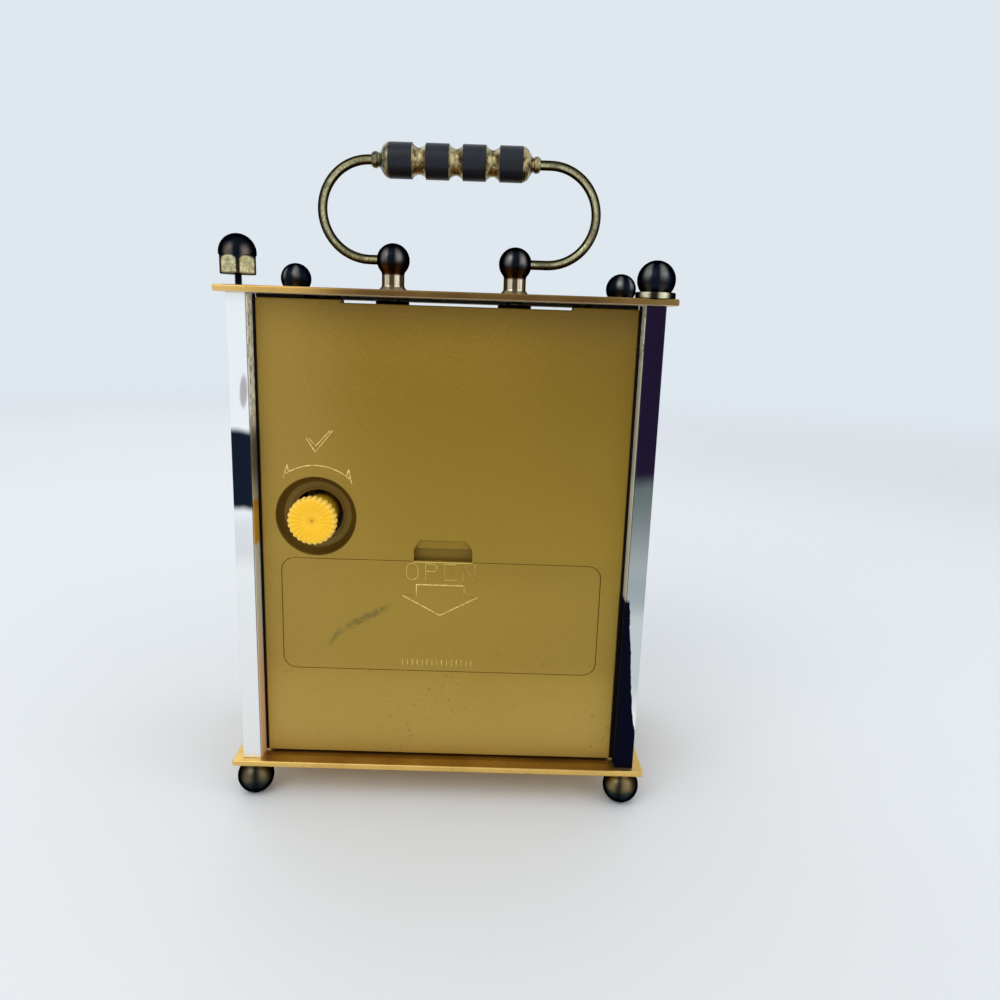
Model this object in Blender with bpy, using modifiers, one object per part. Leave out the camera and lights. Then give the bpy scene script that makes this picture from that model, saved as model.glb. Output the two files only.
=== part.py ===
"""Desk clock: a brass four-column frame, a swinging handle and a plastic case with a battery movement.

Metres, +Z up. The dial faces -Y and the battery cover faces +Y. The feet stand on z = 0.
Right is +X, as someone in front of the dial sees it.
"""

import math

import bmesh
import bpy
from mathutils import Matrix, Vector

# Room between pieces
SEAT = 0.0003
FIT = 0.0002
OVERRUN = 0.001

# Plates, columns and rods
PLATE_THICKNESS = 0.00145
PLATE_BEVEL = 0.0004
COLUMN_SIDE = 0.0044
COLUMN_WALL = 0.0006
COLUMN_INSET_X = 0.00225
COLUMN_INSET_Y = 0.00156
COLUMN_BEVEL = 0.0002
ROD_RADIUS = 0.0008
ROD_ABOVE = 0.006
ROD_IN_FOOT = 0.004

# Feet
FOOT_HEIGHT = 0.0081
FOOT_RADIUS = 0.0042
FOOT_FLAT_RADIUS = 0.0012
FOOT_NECK_RADIUS = 0.0026

# Ball nuts and the raised cap nut
BALL_NUT_RADIUS = 0.004
BALL_NUT_HEIGHT = 0.0078
BALL_NUT_RING_RADIUS = 0.0042
BALL_NUT_RING_HEIGHT = 0.00105
CAP_NUT_FLATS = 0.0072
CAP_NUT_HEX_HEIGHT = 0.004
CAP_NUT_HEIGHT = 0.0082
CAP_NUT_DOME_RADIUS = 0.0039
CAP_NUT_LIFT = 0.00215
CAP_NUT_CROWN = 0.0012

# Handle
POST_OFFSET = 0.0146
POST_BALL_RADIUS = 0.0039
POST_PIVOT_HEIGHT = 0.00766
POST_NECK_RADIUS = 0.00265
POST_FLARE_RADIUS = 0.0034
POST_FLARE_HEIGHT = 0.0008
POST_STUD_RADIUS = 0.0015
POST_NUT_FLATS = 0.007
POST_NUT_HEIGHT = 0.0016
WIRE_RADIUS = 0.0011
WIRE_IN_BALL = 0.003
GRIP_HEIGHT = 0.0299
BOW_CENTRE_RIGHT = 0.0199
BOW_CENTRE_LEFT = 0.0219
GRIP_RADIUS = 0.004
GRIP_BANDS = 4
GRIP_BAND_LENGTH = 0.0052
GRIP_GROOVE_LENGTH = 0.0033
GRIP_GROOVE_RADIUS = 0.0029
GRIP_SHOULDER_LENGTH = 0.0024
GRIP_SHOULDER_RADIUS = 0.0021
GRIP_BEAD_LENGTH = 0.0017
GRIP_BEAD_RADIUS = 0.0018

# Case
CASE_SIDE_GAP = 0.00065
COLUMN_LAP = 0.0009
CASE_TOP_GAP = 0.0008
CASE_WALL = 0.002
CASE_BEVEL = 0.0004
TOP_PAD_WIDTH = 0.0104
TOP_RECESS_DEPTH = 0.003
CASE_SIDE_MARGIN = 0.004424
ROOM_ABOVE_DIAL = 0.0481
WINDOW_BORDER = 0.0078
WINDOW_BEVEL = 0.0008
SIDE_RIB = 0.004
CASE_SCREW_OFFSET = 0.025
CASE_SCREW_RADIUS = 0.0012
CASE_SCREW_LENGTH = 0.0055
CASE_SCREW_HEAD_RADIUS = 0.0023
CASE_SCREW_HEAD_HEIGHT = 0.0012
CASE_BOSS_RADIUS = 0.003

# Dial side
GLASS_THICKNESS = 0.002
SHEET_THICKNESS = 0.0005
DIAL_OPENING_RADIUS = 0.0295
HAND_THICKNESS = 0.00035
HAND_SPACE = 0.0008
HOUR_HAND_LENGTH = 0.017
MINUTE_HAND_LENGTH = 0.0245
HOUR_HAND_WIDTH = 0.0034
MINUTE_HAND_WIDTH = 0.0028
HAND_HUB_RADIUS = 0.0032
SHOWN_HOURS = 10
SHOWN_MINUTES = 9
CENTRE_NUT_RADIUS = 0.0018
CENTRE_NUT_HEIGHT = 0.0006
BUSH_RADIUS = 0.0033
BUSH_NUT_FLATS = 0.009
BUSH_NUT_HEIGHT = 0.0012

# Battery bay and its cover
CELL_RADIUS = 0.00725
CELL_LENGTH = 0.0505
CELL_NUB_RADIUS = 0.00275
CELL_NUB_LENGTH = 0.001
CELL_PLAY = 0.001
SPRING_ROOM = 0.0067
FINGER_ROOM = 0.0053
BAY_WALL = 0.001425
COVER_LOW = 0.02152
COVER_SIDE_LAND = 0.006676
COVER_LOW_LAND = 0.00315
COVER_HIGH_LAND = 0.00335
COVER_CENTRE_X = 0.00028
COVER_CORNER = 0.0029
COVER_THICKNESS = 0.0016
COVER_GAP = 0.0003
COVER_TAB_OFFSET = 0.023
COVER_TAB_WIDTH = 0.006
COVER_TAB_DEPTH = 0.0018
COVER_TAB_DROP = 0.0013
COVER_TAB_RISE = 0.0025
COVER_LATCH_WIDTH = 0.008
COVER_LATCH_DEPTH = 0.0024
COVER_LATCH_THICKNESS = 0.001
NOTCH_WIDTH = 0.01325
NOTCH_HEIGHT = 0.00475
NOTCH_DEPTH = 0.0044
NOTCH_SLOPE = 0.0022
NOTCH_CORNER = 0.003
SPRING_WIRE_RADIUS = 0.00035
SPRING_BASE_RADIUS = 0.0048
SPRING_TIP_RADIUS = 0.0028
SPRING_TURNS = 4
CONTACT_THICKNESS = 0.0004
CONTACT_WIDTH = 0.009
CONTACT_HEIGHT = 0.0095
LEAD_RADIUS = 0.0005
LEAD_HOLE_RADIUS = 0.0011

# Knob and its well
KNOB_RADIUS = 0.00545
KNOB_FLUTES = 26
KNOB_FLUTE_DEPTH = 0.00035
KNOB_HEAD_HEIGHT = 0.0028
KNOB_PROUD = 0.005
KNOB_DISH_DEPTH = 0.0006
KNOB_DISH_RADIUS = 0.0036
KNOB_NECK_RADIUS = 0.0047
KNOB_NECK_LENGTH = 0.016
KNOB_GRIP_LENGTH = 0.006
WELL_RADIUS = 0.00895
WELL_FLOOR_RADIUS = 0.0075
WELL_DEPTH = 0.0024
WELL_HOLE_RADIUS = 0.0056
WELL_WALL = 0.0014
WELL_SIDE_MARGIN = 0.0018
WELL_LOW_MARGIN = 0.00053

# Movement
MOVEMENT_PLATE = 0.0014
WHEEL_THICKNESS = 0.0008
WHEEL_SPACE = 0.00095
WHEEL_LEVELS = 8
ARBOR_RADIUS = 0.0005
PIVOT_LENGTH = 0.0008
CENTRE_ARBOR_RADIUS = 0.0008
PIPE_RADIUS = 0.0016
STUD_RADIUS = 0.0006
STEM_RADIUS = 0.0009
PLATE_EDGE = 0.006
PLATE_TOP_EDGE = 0.001
REAR_PLATE_LEFT_SHARE = 26 / 29
REAR_PLATE_BELOW_SHARE = 19 / 29
PILLAR_RADIUS = 0.002
PILLAR_INSET = 0.003
PILLAR_PIN_RADIUS = 0.001
MOUNT_SCREW_RADIUS = 0.0008
MOUNT_SCREW_LENGTH = 0.0045
MOUNT_SCREW_HEAD_RADIUS = 0.0017
MOUNT_SCREW_HEAD_HEIGHT = 0.001
CANNON_TEETH = 10
MINUTE_WHEEL_TEETH = 30
MINUTE_PINION_TEETH = 8
HOUR_WHEEL_TEETH = 32
SETTING_WHEEL_TEETH = 18
STEM_TEETH = 12
CENTRE_TEETH = 48
THIRD_TEETH = 45
SECOND_TEETH = 48
INTERMEDIATE_TEETH = 30
SMALL_PINION_TEETH = 6
INTERMEDIATE_PINION_TEETH = 8
THIRD_BEARING = math.radians(210)
SECOND_BEARING = math.radians(100)
INTERMEDIATE_BEARING = math.radians(60)
ROTOR_BEARING = math.radians(0)
MAGNET_RADIUS = 0.0021
MAGNET_LENGTH = 0.0014

# Motor and electrics
STATOR_HOLE_GAP = 0.0005
STATOR_WIDTH = 0.026
STATOR_HEIGHT = 0.014
STATOR_ARM = 0.0035
STATOR_LOBE = 0.0068
STATOR_THICKNESS = 0.0008
STATOR_OFFSET_X = 0.005
COIL_RADIUS = 0.0025
COIL_FLANGE_RADIUS = 0.0029
COIL_LENGTH = 0.0175
COIL_FLANGE = 0.0006
CORE_WIDTH = 0.0022
BOARD_WIDTH = 0.022
BOARD_HEIGHT = 0.013
BOARD_THICKNESS = 0.0008
BOARD_LEFT = 0.003
BOARD_BELOW = 0.017
CRYSTAL_RADIUS = 0.0014
CRYSTAL_LENGTH = 0.007

# Modules, as shares of the distance from the dial's centre to the knob
MOTION_SHARE = 0.6 / 29
CENTRE_SHARE = 0.5 / 29
THIRD_SHARE = 0.45 / 29
SECOND_SHARE = 0.4 / 29
INTERMEDIATE_SHARE = 0.5 / 29

# Tooth form, in modules and in shares of the tooth pitch
ADDENDUM_SHARE = 0.8
DEDENDUM_SHARE = 1.2
TIP_SHARE = 0.2
ROOT_SHARE = 0.55

# Facets
BALL_SIDES = 16
HOLE_SIDES = 16
ARBOR_SIDES = 10
MERGE = 0.000001

# Battery bay and cover, in height above the base plate
BAY_LENGTH = CELL_LENGTH + CELL_NUB_LENGTH + SPRING_ROOM + CONTACT_THICKNESS + 2 * SEAT
BAY_HEIGHT = 2 * CELL_RADIUS + SEAT + FINGER_ROOM
BAY_LOW = COVER_LOW + COVER_LOW_LAND
COVER_HIGH = BAY_LOW + BAY_HEIGHT + COVER_HIGH_LAND
COVER_WIDTH = BAY_LENGTH + 2 * COVER_SIDE_LAND
LATCH_RISE = COVER_LATCH_THICKNESS

# Widths, from the cover out to the plates
CASE_X = COVER_WIDTH / 2 + CASE_SIDE_MARGIN
CORNER_X = CASE_X + CASE_SIDE_GAP + COLUMN_SIDE / 2
PLATE_WIDTH = 2 * (CORNER_X + COLUMN_SIDE / 2 + COLUMN_INSET_X)
KNOB_X = CASE_X - WELL_SIDE_MARGIN - WELL_WALL - WELL_RADIUS
CAVITY_X = CASE_X - CASE_WALL
STACK_X = CAVITY_X - SIDE_RIB

# Heights
BASE_TOP = FOOT_HEIGHT + PLATE_THICKNESS
DIAL_Z = BASE_TOP + COVER_HIGH + COVER_GAP + WELL_LOW_MARGIN + WELL_RADIUS
TOP_LOW = DIAL_Z + ROOM_ABOVE_DIAL
TOP_TOP = TOP_LOW + PLATE_THICKNESS
PIVOT_Z = TOP_TOP + POST_PIVOT_HEIGHT
GRIP_Z = TOP_TOP + GRIP_HEIGHT
CASE_LOW = BASE_TOP + SEAT
CASE_HIGH = TOP_LOW - CASE_TOP_GAP
CAVITY_LOW = CASE_LOW + CASE_WALL
CAVITY_HIGH = CASE_HIGH - TOP_RECESS_DEPTH - CASE_WALL

# Depths: what lies before the wheels, the wheels, and the bay with its cover
HANDS_DEPTH = CENTRE_NUT_HEIGHT + FIT + 2 * HAND_THICKNESS + 2 * HAND_SPACE
DIAL_DEPTH = BUSH_NUT_HEIGHT + SEAT + SHEET_THICKNESS + SEAT + MOVEMENT_PLATE
FRONT_DEPTH = CASE_WALL + SEAT + GLASS_THICKNESS + SEAT + HANDS_DEPTH + DIAL_DEPTH
LEVEL_PITCH = WHEEL_THICKNESS + WHEEL_SPACE
WHEELS_DEPTH = WHEEL_SPACE / 2 + WHEEL_LEVELS * LEVEL_PITCH
BAY_DEPTH = BAY_WALL + SEAT + 2 * CELL_RADIUS + CELL_PLAY
CASE_DEPTH = FRONT_DEPTH + WHEELS_DEPTH + MOVEMENT_PLATE + 2 * SEAT + BAY_DEPTH + COVER_GAP + COVER_THICKNESS
CASE_Y = CASE_DEPTH / 2
CORNER_Y = CASE_Y - COLUMN_LAP + COLUMN_SIDE / 2
PLATE_DEPTH = 2 * (CORNER_Y + COLUMN_SIDE / 2 + COLUMN_INSET_Y)
CASE_SCREW_Y = SEAT / 2 + CASE_BOSS_RADIUS

# Places along Y, from the window back
GLASS_FRONT = -CASE_Y + CASE_WALL + SEAT
GLASS_BACK = GLASS_FRONT + GLASS_THICKNESS
NUT_FRONT = GLASS_BACK + SEAT
MINUTE_HAND_Y = NUT_FRONT + CENTRE_NUT_HEIGHT + FIT + HAND_THICKNESS / 2
HOUR_HAND_Y = MINUTE_HAND_Y + HAND_THICKNESS + HAND_SPACE
BUSH_NUT_FRONT = HOUR_HAND_Y + HAND_THICKNESS / 2 + HAND_SPACE
SURROUND_BACK = BUSH_NUT_FRONT + BUSH_NUT_HEIGHT
SURROUND_FRONT = SURROUND_BACK - SHEET_THICKNESS
DIAL_FRONT = SURROUND_BACK + SEAT
DIAL_BACK = DIAL_FRONT + SHEET_THICKNESS
MOUNT_FRONT = DIAL_BACK + SEAT
MOUNT_BACK = MOUNT_FRONT + MOVEMENT_PLATE
REAR_PLATE_FRONT = MOUNT_BACK + WHEELS_DEPTH
REAR_PLATE_BACK = REAR_PLATE_FRONT + MOVEMENT_PLATE
BAY_FRONT = REAR_PLATE_BACK + 2 * SEAT + BAY_WALL
TRAY_BACK = CASE_Y - CASE_WALL - SEAT
CELL_X = COVER_CENTRE_X + BAY_LENGTH / 2 - SEAT - CONTACT_THICKNESS - SEAT - CELL_NUB_LENGTH - CELL_LENGTH / 2
CELL_Y = BAY_FRONT + SEAT + CELL_RADIUS
CELL_Z = BASE_TOP + BAY_LOW + SEAT + CELL_RADIUS

# Modules and the movement's plates, which reach from the dial's centre to the knob
MOTION_MODULE = KNOB_X * MOTION_SHARE
CENTRE_MODULE = KNOB_X * CENTRE_SHARE
THIRD_MODULE = KNOB_X * THIRD_SHARE
SECOND_MODULE = KNOB_X * SECOND_SHARE
INTERMEDIATE_MODULE = KNOB_X * INTERMEDIATE_SHARE
STEM_REACH = KNOB_X - MOTION_MODULE * (CANNON_TEETH + MINUTE_WHEEL_TEETH) / 2
REAR_PLATE_LEFT = KNOB_X * REAR_PLATE_LEFT_SHARE
REAR_PLATE_BELOW = KNOB_X * REAR_PLATE_BELOW_SHARE
REAR_PLATE_RIGHT = KNOB_X + PLATE_EDGE
MOUNT_BELOW = REAR_PLATE_BELOW + PLATE_EDGE

# Colour, roughness and metallic value of each finish
FINISHES = {
    "brass_plate": ((0.72, 0.50, 0.20), 0.3, 1.0),
    "gilt_column": ((0.86, 0.84, 0.80), 0.15, 1.0),
    "bronzed_brass": ((0.16, 0.13, 0.12), 0.3, 1.0),
    "antique_wire": ((0.45, 0.38, 0.20), 0.35, 1.0),
    "grip_gilt": ((0.62, 0.52, 0.32), 0.35, 1.0),
    "gold_paint": ((0.42, 0.33, 0.12), 0.45, 0.4),
    "knob_yellow": ((0.93, 0.68, 0.10), 0.4, 0.0),
    "dial_white": ((0.88, 0.86, 0.80), 0.6, 0.0),
    "dial_gilt": ((0.74, 0.58, 0.30), 0.35, 1.0),
    "clear_glass": ((0.90, 0.94, 0.94), 0.05, 0.0),
    "black_steel": ((0.05, 0.05, 0.06), 0.35, 0.9),
    "bright_steel": ((0.60, 0.60, 0.62), 0.3, 1.0),
    "movement_plastic": ((0.82, 0.82, 0.80), 0.5, 0.0),
    "gear_plastic": ((0.90, 0.88, 0.78), 0.5, 0.0),
    "gear_brass": ((0.78, 0.60, 0.28), 0.3, 1.0),
    "copper_winding": ((0.55, 0.22, 0.10), 0.4, 0.8),
    "board_green": ((0.08, 0.26, 0.14), 0.5, 0.0),
    "cell_jacket": ((0.20, 0.22, 0.26), 0.4, 0.3),
    "lead_red": ((0.55, 0.05, 0.04), 0.5, 0.0),
    "lead_black": ((0.03, 0.03, 0.03), 0.5, 0.0),
}


def clear_scene():
    for old in list(bpy.data.objects):
        bpy.data.objects.remove(old, do_unlink=True)


def new_collection(name):
    collection = bpy.data.collections.new(name)
    bpy.context.scene.collection.children.link(collection)
    return collection


def new_finish(name):
    colour, roughness, metallic = FINISHES[name]
    finish = bpy.data.materials.new(name)
    finish.use_nodes = True
    shader = finish.node_tree.nodes["Principled BSDF"]
    shader.inputs["Base Color"].default_value = (*colour, 1.0)
    shader.inputs["Roughness"].default_value = roughness
    shader.inputs["Metallic"].default_value = metallic
    finish.diffuse_color = (*colour, 1.0)
    return finish


clear_scene()
PARTS = new_collection("desk_clock")
CUTTERS = new_collection("cutters")
MATERIALS = {name: new_finish(name) for name in FINISHES}

# Turns a shape made in the XY plane so that its +Y is up and its +Z faces the front
FACE_FRONT = (math.pi / 2, 0, 0)
ALONG_X = (0, math.pi / 2, 0)


# Solids


def solid(name, mesh, finish, place=(0, 0, 0), turn=(0, 0, 0)):
    piece = bpy.data.objects.new(name, mesh)
    PARTS.objects.link(piece)
    piece.location = place
    piece.rotation_euler = turn
    mesh.materials.append(MATERIALS[finish])
    return piece


def block(name, low, high, finish, place=(0, 0, 0), bevel=0.0, bevel_segments=1):
    """A box between two corners, given in world coordinates, whose origin is at place."""
    size = Vector(high) - Vector(low)
    centre = (Vector(high) + Vector(low)) / 2 - Vector(place)
    shape = bmesh.new()
    bmesh.ops.create_cube(shape, size=1, matrix=Matrix.Translation(centre) @ Matrix.Diagonal((*size, 1)))
    mesh = bpy.data.meshes.new(name)
    shape.to_mesh(mesh)
    shape.free()
    piece = solid(name, mesh, finish, place)
    if bevel > 0:
        add_bevel(piece, bevel, bevel_segments)
    return piece


def add_bevel(piece, width, segments=1):
    rounding = piece.modifiers.new("edges", "BEVEL")
    rounding.width = width
    rounding.segments = segments
    rounding.limit_method = "ANGLE"
    rounding.angle_limit = math.radians(60)


def round_bar(name, radius, length, finish, place, turn=(0, 0, 0), sides=HOLE_SIDES, end_radius=None):
    """A cylinder or a cone from place along its own +Z."""
    shape = bmesh.new()
    bmesh.ops.create_cone(
        shape,
        cap_ends=True,
        segments=sides,
        radius1=radius,
        radius2=radius if end_radius is None else end_radius,
        depth=length,
        matrix=Matrix.Translation((0, 0, length / 2)),
    )
    mesh = bpy.data.meshes.new(name)
    shape.to_mesh(mesh)
    shape.free()
    mesh.shade_smooth()
    return solid(name, mesh, finish, place, turn)


def turned(name, profile, finish, place, turn=(0, 0, 0), closed=False, sides=BALL_SIDES):
    """A profile of (radius, height) turned about its own Z. It runs down its outer side."""
    shape = bmesh.new()
    points = [shape.verts.new((radius, 0, height)) for radius, height in profile]
    pairs = list(zip(points, points[1:]))
    if closed:
        pairs.append((points[-1], points[0]))
    for start, end in pairs:
        shape.edges.new((start, end))
    mesh = bpy.data.meshes.new(name)
    shape.to_mesh(mesh)
    shape.free()
    piece = solid(name, mesh, finish, place, turn)
    screw = piece.modifiers.new("turning", "SCREW")
    screw.steps = sides
    screw.render_steps = sides
    screw.use_merge_vertices = True
    screw.merge_threshold = MERGE
    screw.use_smooth_shade = True
    return piece


def arc_points(radius, centre_height, start_degrees, end_degrees, count, centre_radius=0.0):
    """Points of a turned arc. 90 degrees is its top, 0 its widest place, -90 its bottom."""
    points = []
    for step in range(count + 1):
        angle = math.radians(start_degrees + (end_degrees - start_degrees) * step / count)
        points.append((centre_radius + radius * math.cos(angle), centre_height + radius * math.sin(angle)))
    return points


def to_mesh(name, maker, finish):
    """The evaluated shape of a curve object as a mesh object, with its caps welded."""
    bpy.context.view_layer.update()
    evaluated = maker.evaluated_get(bpy.context.evaluated_depsgraph_get())
    mesh = bpy.data.meshes.new_from_object(evaluated)
    shape = bmesh.new()
    shape.from_mesh(mesh)
    bmesh.ops.remove_doubles(shape, verts=shape.verts, dist=MERGE)
    bmesh.ops.recalc_face_normals(shape, faces=shape.faces)
    shape.to_mesh(mesh)
    shape.free()
    mesh.materials.clear()
    place = maker.matrix_world.copy()
    bpy.data.objects.remove(maker, do_unlink=True)
    mesh.name = name
    piece = solid(name, mesh, finish)
    piece.matrix_world = place
    return piece


def flat(name, outlines, thickness, finish, place, turn=FACE_FRONT):
    """A sheet cut to the outlines, the first outside and the others holes, centred on place."""
    shape = bmesh.new()
    faces_to_fill = ([], [])
    for outline in outlines:
        rings = [[shape.verts.new((x, y, side * thickness / 2)) for x, y in outline] for side in (-1, 1)]
        for index in range(len(outline)):
            before = index - 1
            low, high = rings
            shape.faces.new((low[before], low[index], high[index], high[before]))
            for ring, border in zip(rings, faces_to_fill):
                border.append(shape.edges.get((ring[before], ring[index])))
    for border in faces_to_fill:
        bmesh.ops.triangle_fill(shape, edges=border, use_beauty=True, use_dissolve=False)
    bmesh.ops.recalc_face_normals(shape, faces=shape.faces)
    mesh = bpy.data.meshes.new(name)
    shape.to_mesh(mesh)
    shape.free()
    return solid(name, mesh, finish, place, turn)


def wire(name, route, radius, finish, place=(0, 0, 0), roundness=2):
    """A round wire along the route, whose origin is at place."""
    curve = bpy.data.curves.new(name + "_route", "CURVE")
    curve.dimensions = "3D"
    curve.bevel_depth = radius
    curve.bevel_resolution = roundness
    curve.use_fill_caps = True
    spline = curve.splines.new("POLY")
    spline.points.add(len(route) - 1)
    for point, spot in zip(spline.points, route):
        point.co = (*(Vector(spot) - Vector(place)), 1)
    maker = bpy.data.objects.new(name + "_route", curve)
    PARTS.objects.link(maker)
    maker.location = place
    return to_mesh(name, maker, finish)


def use_as_tool(tool):
    PARTS.objects.unlink(tool)
    CUTTERS.objects.link(tool)
    tool.hide_render = True
    tool.display_type = "WIRE"


def combine(piece, tool, operation):
    use_as_tool(tool)
    step = piece.modifiers.new(tool.name, "BOOLEAN")
    step.operation = operation
    step.object = tool


def cut(piece, *tools):
    for tool in tools:
        combine(piece, tool, "DIFFERENCE")


def join(piece, *tools):
    for tool in tools:
        combine(piece, tool, "UNION")


# Outlines


def circle(radius, centre=(0, 0), sides=HOLE_SIDES):
    steps = [2 * math.pi * k / sides for k in range(sides)]
    return [(centre[0] + radius * math.cos(a), centre[1] + radius * math.sin(a)) for a in steps]


def rectangle(left, low, right, high):
    return [(left, low), (right, low), (right, high), (left, high)]


def rounded_rectangle(left, low, right, high, corner, steps=4):
    centres = (
        (right - corner, high - corner),
        (left + corner, high - corner),
        (left + corner, low + corner),
        (right - corner, low + corner),
    )
    points = []
    for quarter, (x, y) in enumerate(centres):
        for step in range(steps + 1):
            angle = (quarter + step / steps) * math.pi / 2
            points.append((x + corner * math.cos(angle), y + corner * math.sin(angle)))
    return points


def hexagon(flats):
    corner = flats / math.sqrt(3)
    return [(corner * math.cos(k * math.pi / 3), corner * math.sin(k * math.pi / 3)) for k in range(6)]


def gear(teeth, module, phase):
    """Straight-sided teeth. One of them is centred on the angle phase."""
    pitch = 2 * math.pi / teeth
    tip = teeth * module / 2 + ADDENDUM_SHARE * module
    root = teeth * module / 2 - DEDENDUM_SHARE * module
    corners = ((-ROOT_SHARE, root), (-TIP_SHARE, tip), (TIP_SHARE, tip), (ROOT_SHARE, root))
    points = []
    for tooth in range(teeth):
        for share, radius in corners:
            angle = phase + (tooth + share / 2) * pitch
            points.append((radius * math.cos(angle), radius * math.sin(angle)))
    return points


def meshing_phase(teeth, phase, other_teeth, bearing):
    """The phase of a gear at the given bearing that puts its gaps on this gear's teeth."""
    along = (bearing - phase) * teeth / (2 * math.pi)
    return bearing + math.pi - (0.5 - along) * 2 * math.pi / other_teeth


def polar(distance, bearing):
    return Vector((distance * math.cos(bearing), distance * math.sin(bearing)))


def reach(module, *teeth):
    return module * sum(teeth) / 2


# Frame


def corners():
    for front_or_rear, y in (("front", -CORNER_Y), ("rear", CORNER_Y)):
        for left_or_right, x in (("left", -CORNER_X), ("right", CORNER_X)):
            yield f"{front_or_rear}_{left_or_right}", x, y


def make_plate(name, low):
    plate = block(
        name,
        (-PLATE_WIDTH / 2, -PLATE_DEPTH / 2, low),
        (PLATE_WIDTH / 2, PLATE_DEPTH / 2, low + PLATE_THICKNESS),
        "brass_plate",
        bevel=PLATE_BEVEL,
    )
    for corner, x, y in corners():
        cut(plate, hole(f"{name}_hole_{corner}", ROD_RADIUS + FIT, x, y, low))
    return plate


def hole(name, radius, x, y, low):
    """A cutter for an upright hole through a plate."""
    depth = PLATE_THICKNESS + 2 * OVERRUN
    return round_bar(name, radius, depth, "bright_steel", (x, y, low - OVERRUN))


def make_plates():
    base = make_plate("base_plate", FOOT_HEIGHT)
    for side, x in (("left", -CASE_SCREW_OFFSET), ("right", CASE_SCREW_OFFSET)):
        cut(base, hole(f"base_plate_case_hole_{side}", CASE_SCREW_RADIUS + FIT, x, CASE_SCREW_Y, FOOT_HEIGHT))
    top = make_plate("top_plate", TOP_LOW)
    for side, x in (("left", -POST_OFFSET), ("right", POST_OFFSET)):
        cut(top, hole(f"top_plate_post_hole_{side}", POST_STUD_RADIUS + FIT, x, 0, TOP_LOW))


def make_column(corner, x, y):
    half = COLUMN_SIDE / 2
    bore = half - COLUMN_WALL
    column = block(
        f"{corner}_column",
        (x - half, y - half, BASE_TOP + SEAT),
        (x + half, y + half, TOP_LOW - SEAT),
        "gilt_column",
        bevel=COLUMN_BEVEL,
    )
    tool = block(
        f"{corner}_column_bore",
        (x - bore, y - bore, BASE_TOP - OVERRUN),
        (x + bore, y + bore, TOP_LOW + OVERRUN),
        "gilt_column",
    )
    cut(column, tool)


def make_tie_rod(corner, x, y):
    low = FOOT_HEIGHT - ROD_IN_FOOT
    length = TOP_TOP + ROD_ABOVE - low
    round_bar(f"{corner}_tie_rod", ROD_RADIUS, length, "black_steel", (x, y, low), sides=12)


def make_foot(corner, x, y):
    """A ball with a small flat to stand on and a short neck under the plate."""
    top = FOOT_HEIGHT - SEAT
    flat_angle = -math.degrees(math.acos(FOOT_FLAT_RADIUS / FOOT_RADIUS))
    centre = FOOT_RADIUS * math.sin(math.radians(-flat_angle))
    neck_angle = math.degrees(math.acos(FOOT_NECK_RADIUS / FOOT_RADIUS))
    bore = ROD_RADIUS + FIT
    bore_low = FOOT_HEIGHT - ROD_IN_FOOT - SEAT
    profile = [(0, bore_low), (bore, bore_low), (bore, top), (FOOT_NECK_RADIUS, top)]
    profile += arc_points(FOOT_RADIUS, centre, neck_angle, flat_angle, 9)
    profile.append((0, 0))
    turned(f"{corner}_foot", profile, "bronzed_brass", (x, y, 0))


def make_ball_nut(corner, x, y):
    centre = BALL_NUT_HEIGHT - SEAT - BALL_NUT_RADIUS
    ring_angle = -math.degrees(math.asin((centre - BALL_NUT_RING_HEIGHT) / BALL_NUT_RADIUS))
    bore = ROD_RADIUS + FIT
    bore_top = ROD_ABOVE
    profile = arc_points(BALL_NUT_RADIUS, centre, 90, ring_angle, 8)
    profile += [
        (BALL_NUT_RING_RADIUS, BALL_NUT_RING_HEIGHT * 2 / 3),
        (BALL_NUT_RING_RADIUS, 0),
        (bore, 0),
        (bore, bore_top),
        (0, bore_top),
    ]
    turned(f"{corner}_ball_nut", profile, "bronzed_brass", (x, y, TOP_TOP + SEAT))


def make_cap_nut(corner, x, y):
    """A hexagon with a dome, standing above the plate on its rod."""
    low = TOP_TOP + CAP_NUT_LIFT
    dome_centre = CAP_NUT_HEIGHT - CAP_NUT_DOME_RADIUS
    dome_foot = CAP_NUT_HEX_HEIGHT * 3 / 4
    nut = flat(
        f"{corner}_cap_nut",
        [hexagon(CAP_NUT_FLATS)],
        CAP_NUT_HEX_HEIGHT,
        "gear_brass",
        (x, y, low + CAP_NUT_HEX_HEIGHT / 2),
        (0, 0, math.radians(12)),
    )
    profile = arc_points(CAP_NUT_DOME_RADIUS, dome_centre, 90, 0, 6)
    profile += [(CAP_NUT_FLATS * 0.46, dome_foot), (0, dome_foot)]
    join(nut, turned(f"{corner}_cap_nut_dome", profile, "gear_brass", (x, y, low)))
    bore = ROD_RADIUS + FIT
    depth = CAP_NUT_HEIGHT - CAP_NUT_CROWN
    cut(nut, round_bar(f"{corner}_cap_nut_bore", bore, depth + OVERRUN, "gear_brass", (x, y, low - OVERRUN)))


def make_frame():
    make_plates()
    for corner, x, y in corners():
        make_column(corner, x, y)
        make_tie_rod(corner, x, y)
        make_foot(corner, x, y)
        if corner == "rear_right":
            make_cap_nut(corner, x, y)
        else:
            make_ball_nut(corner, x, y)


# Handle


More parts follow.
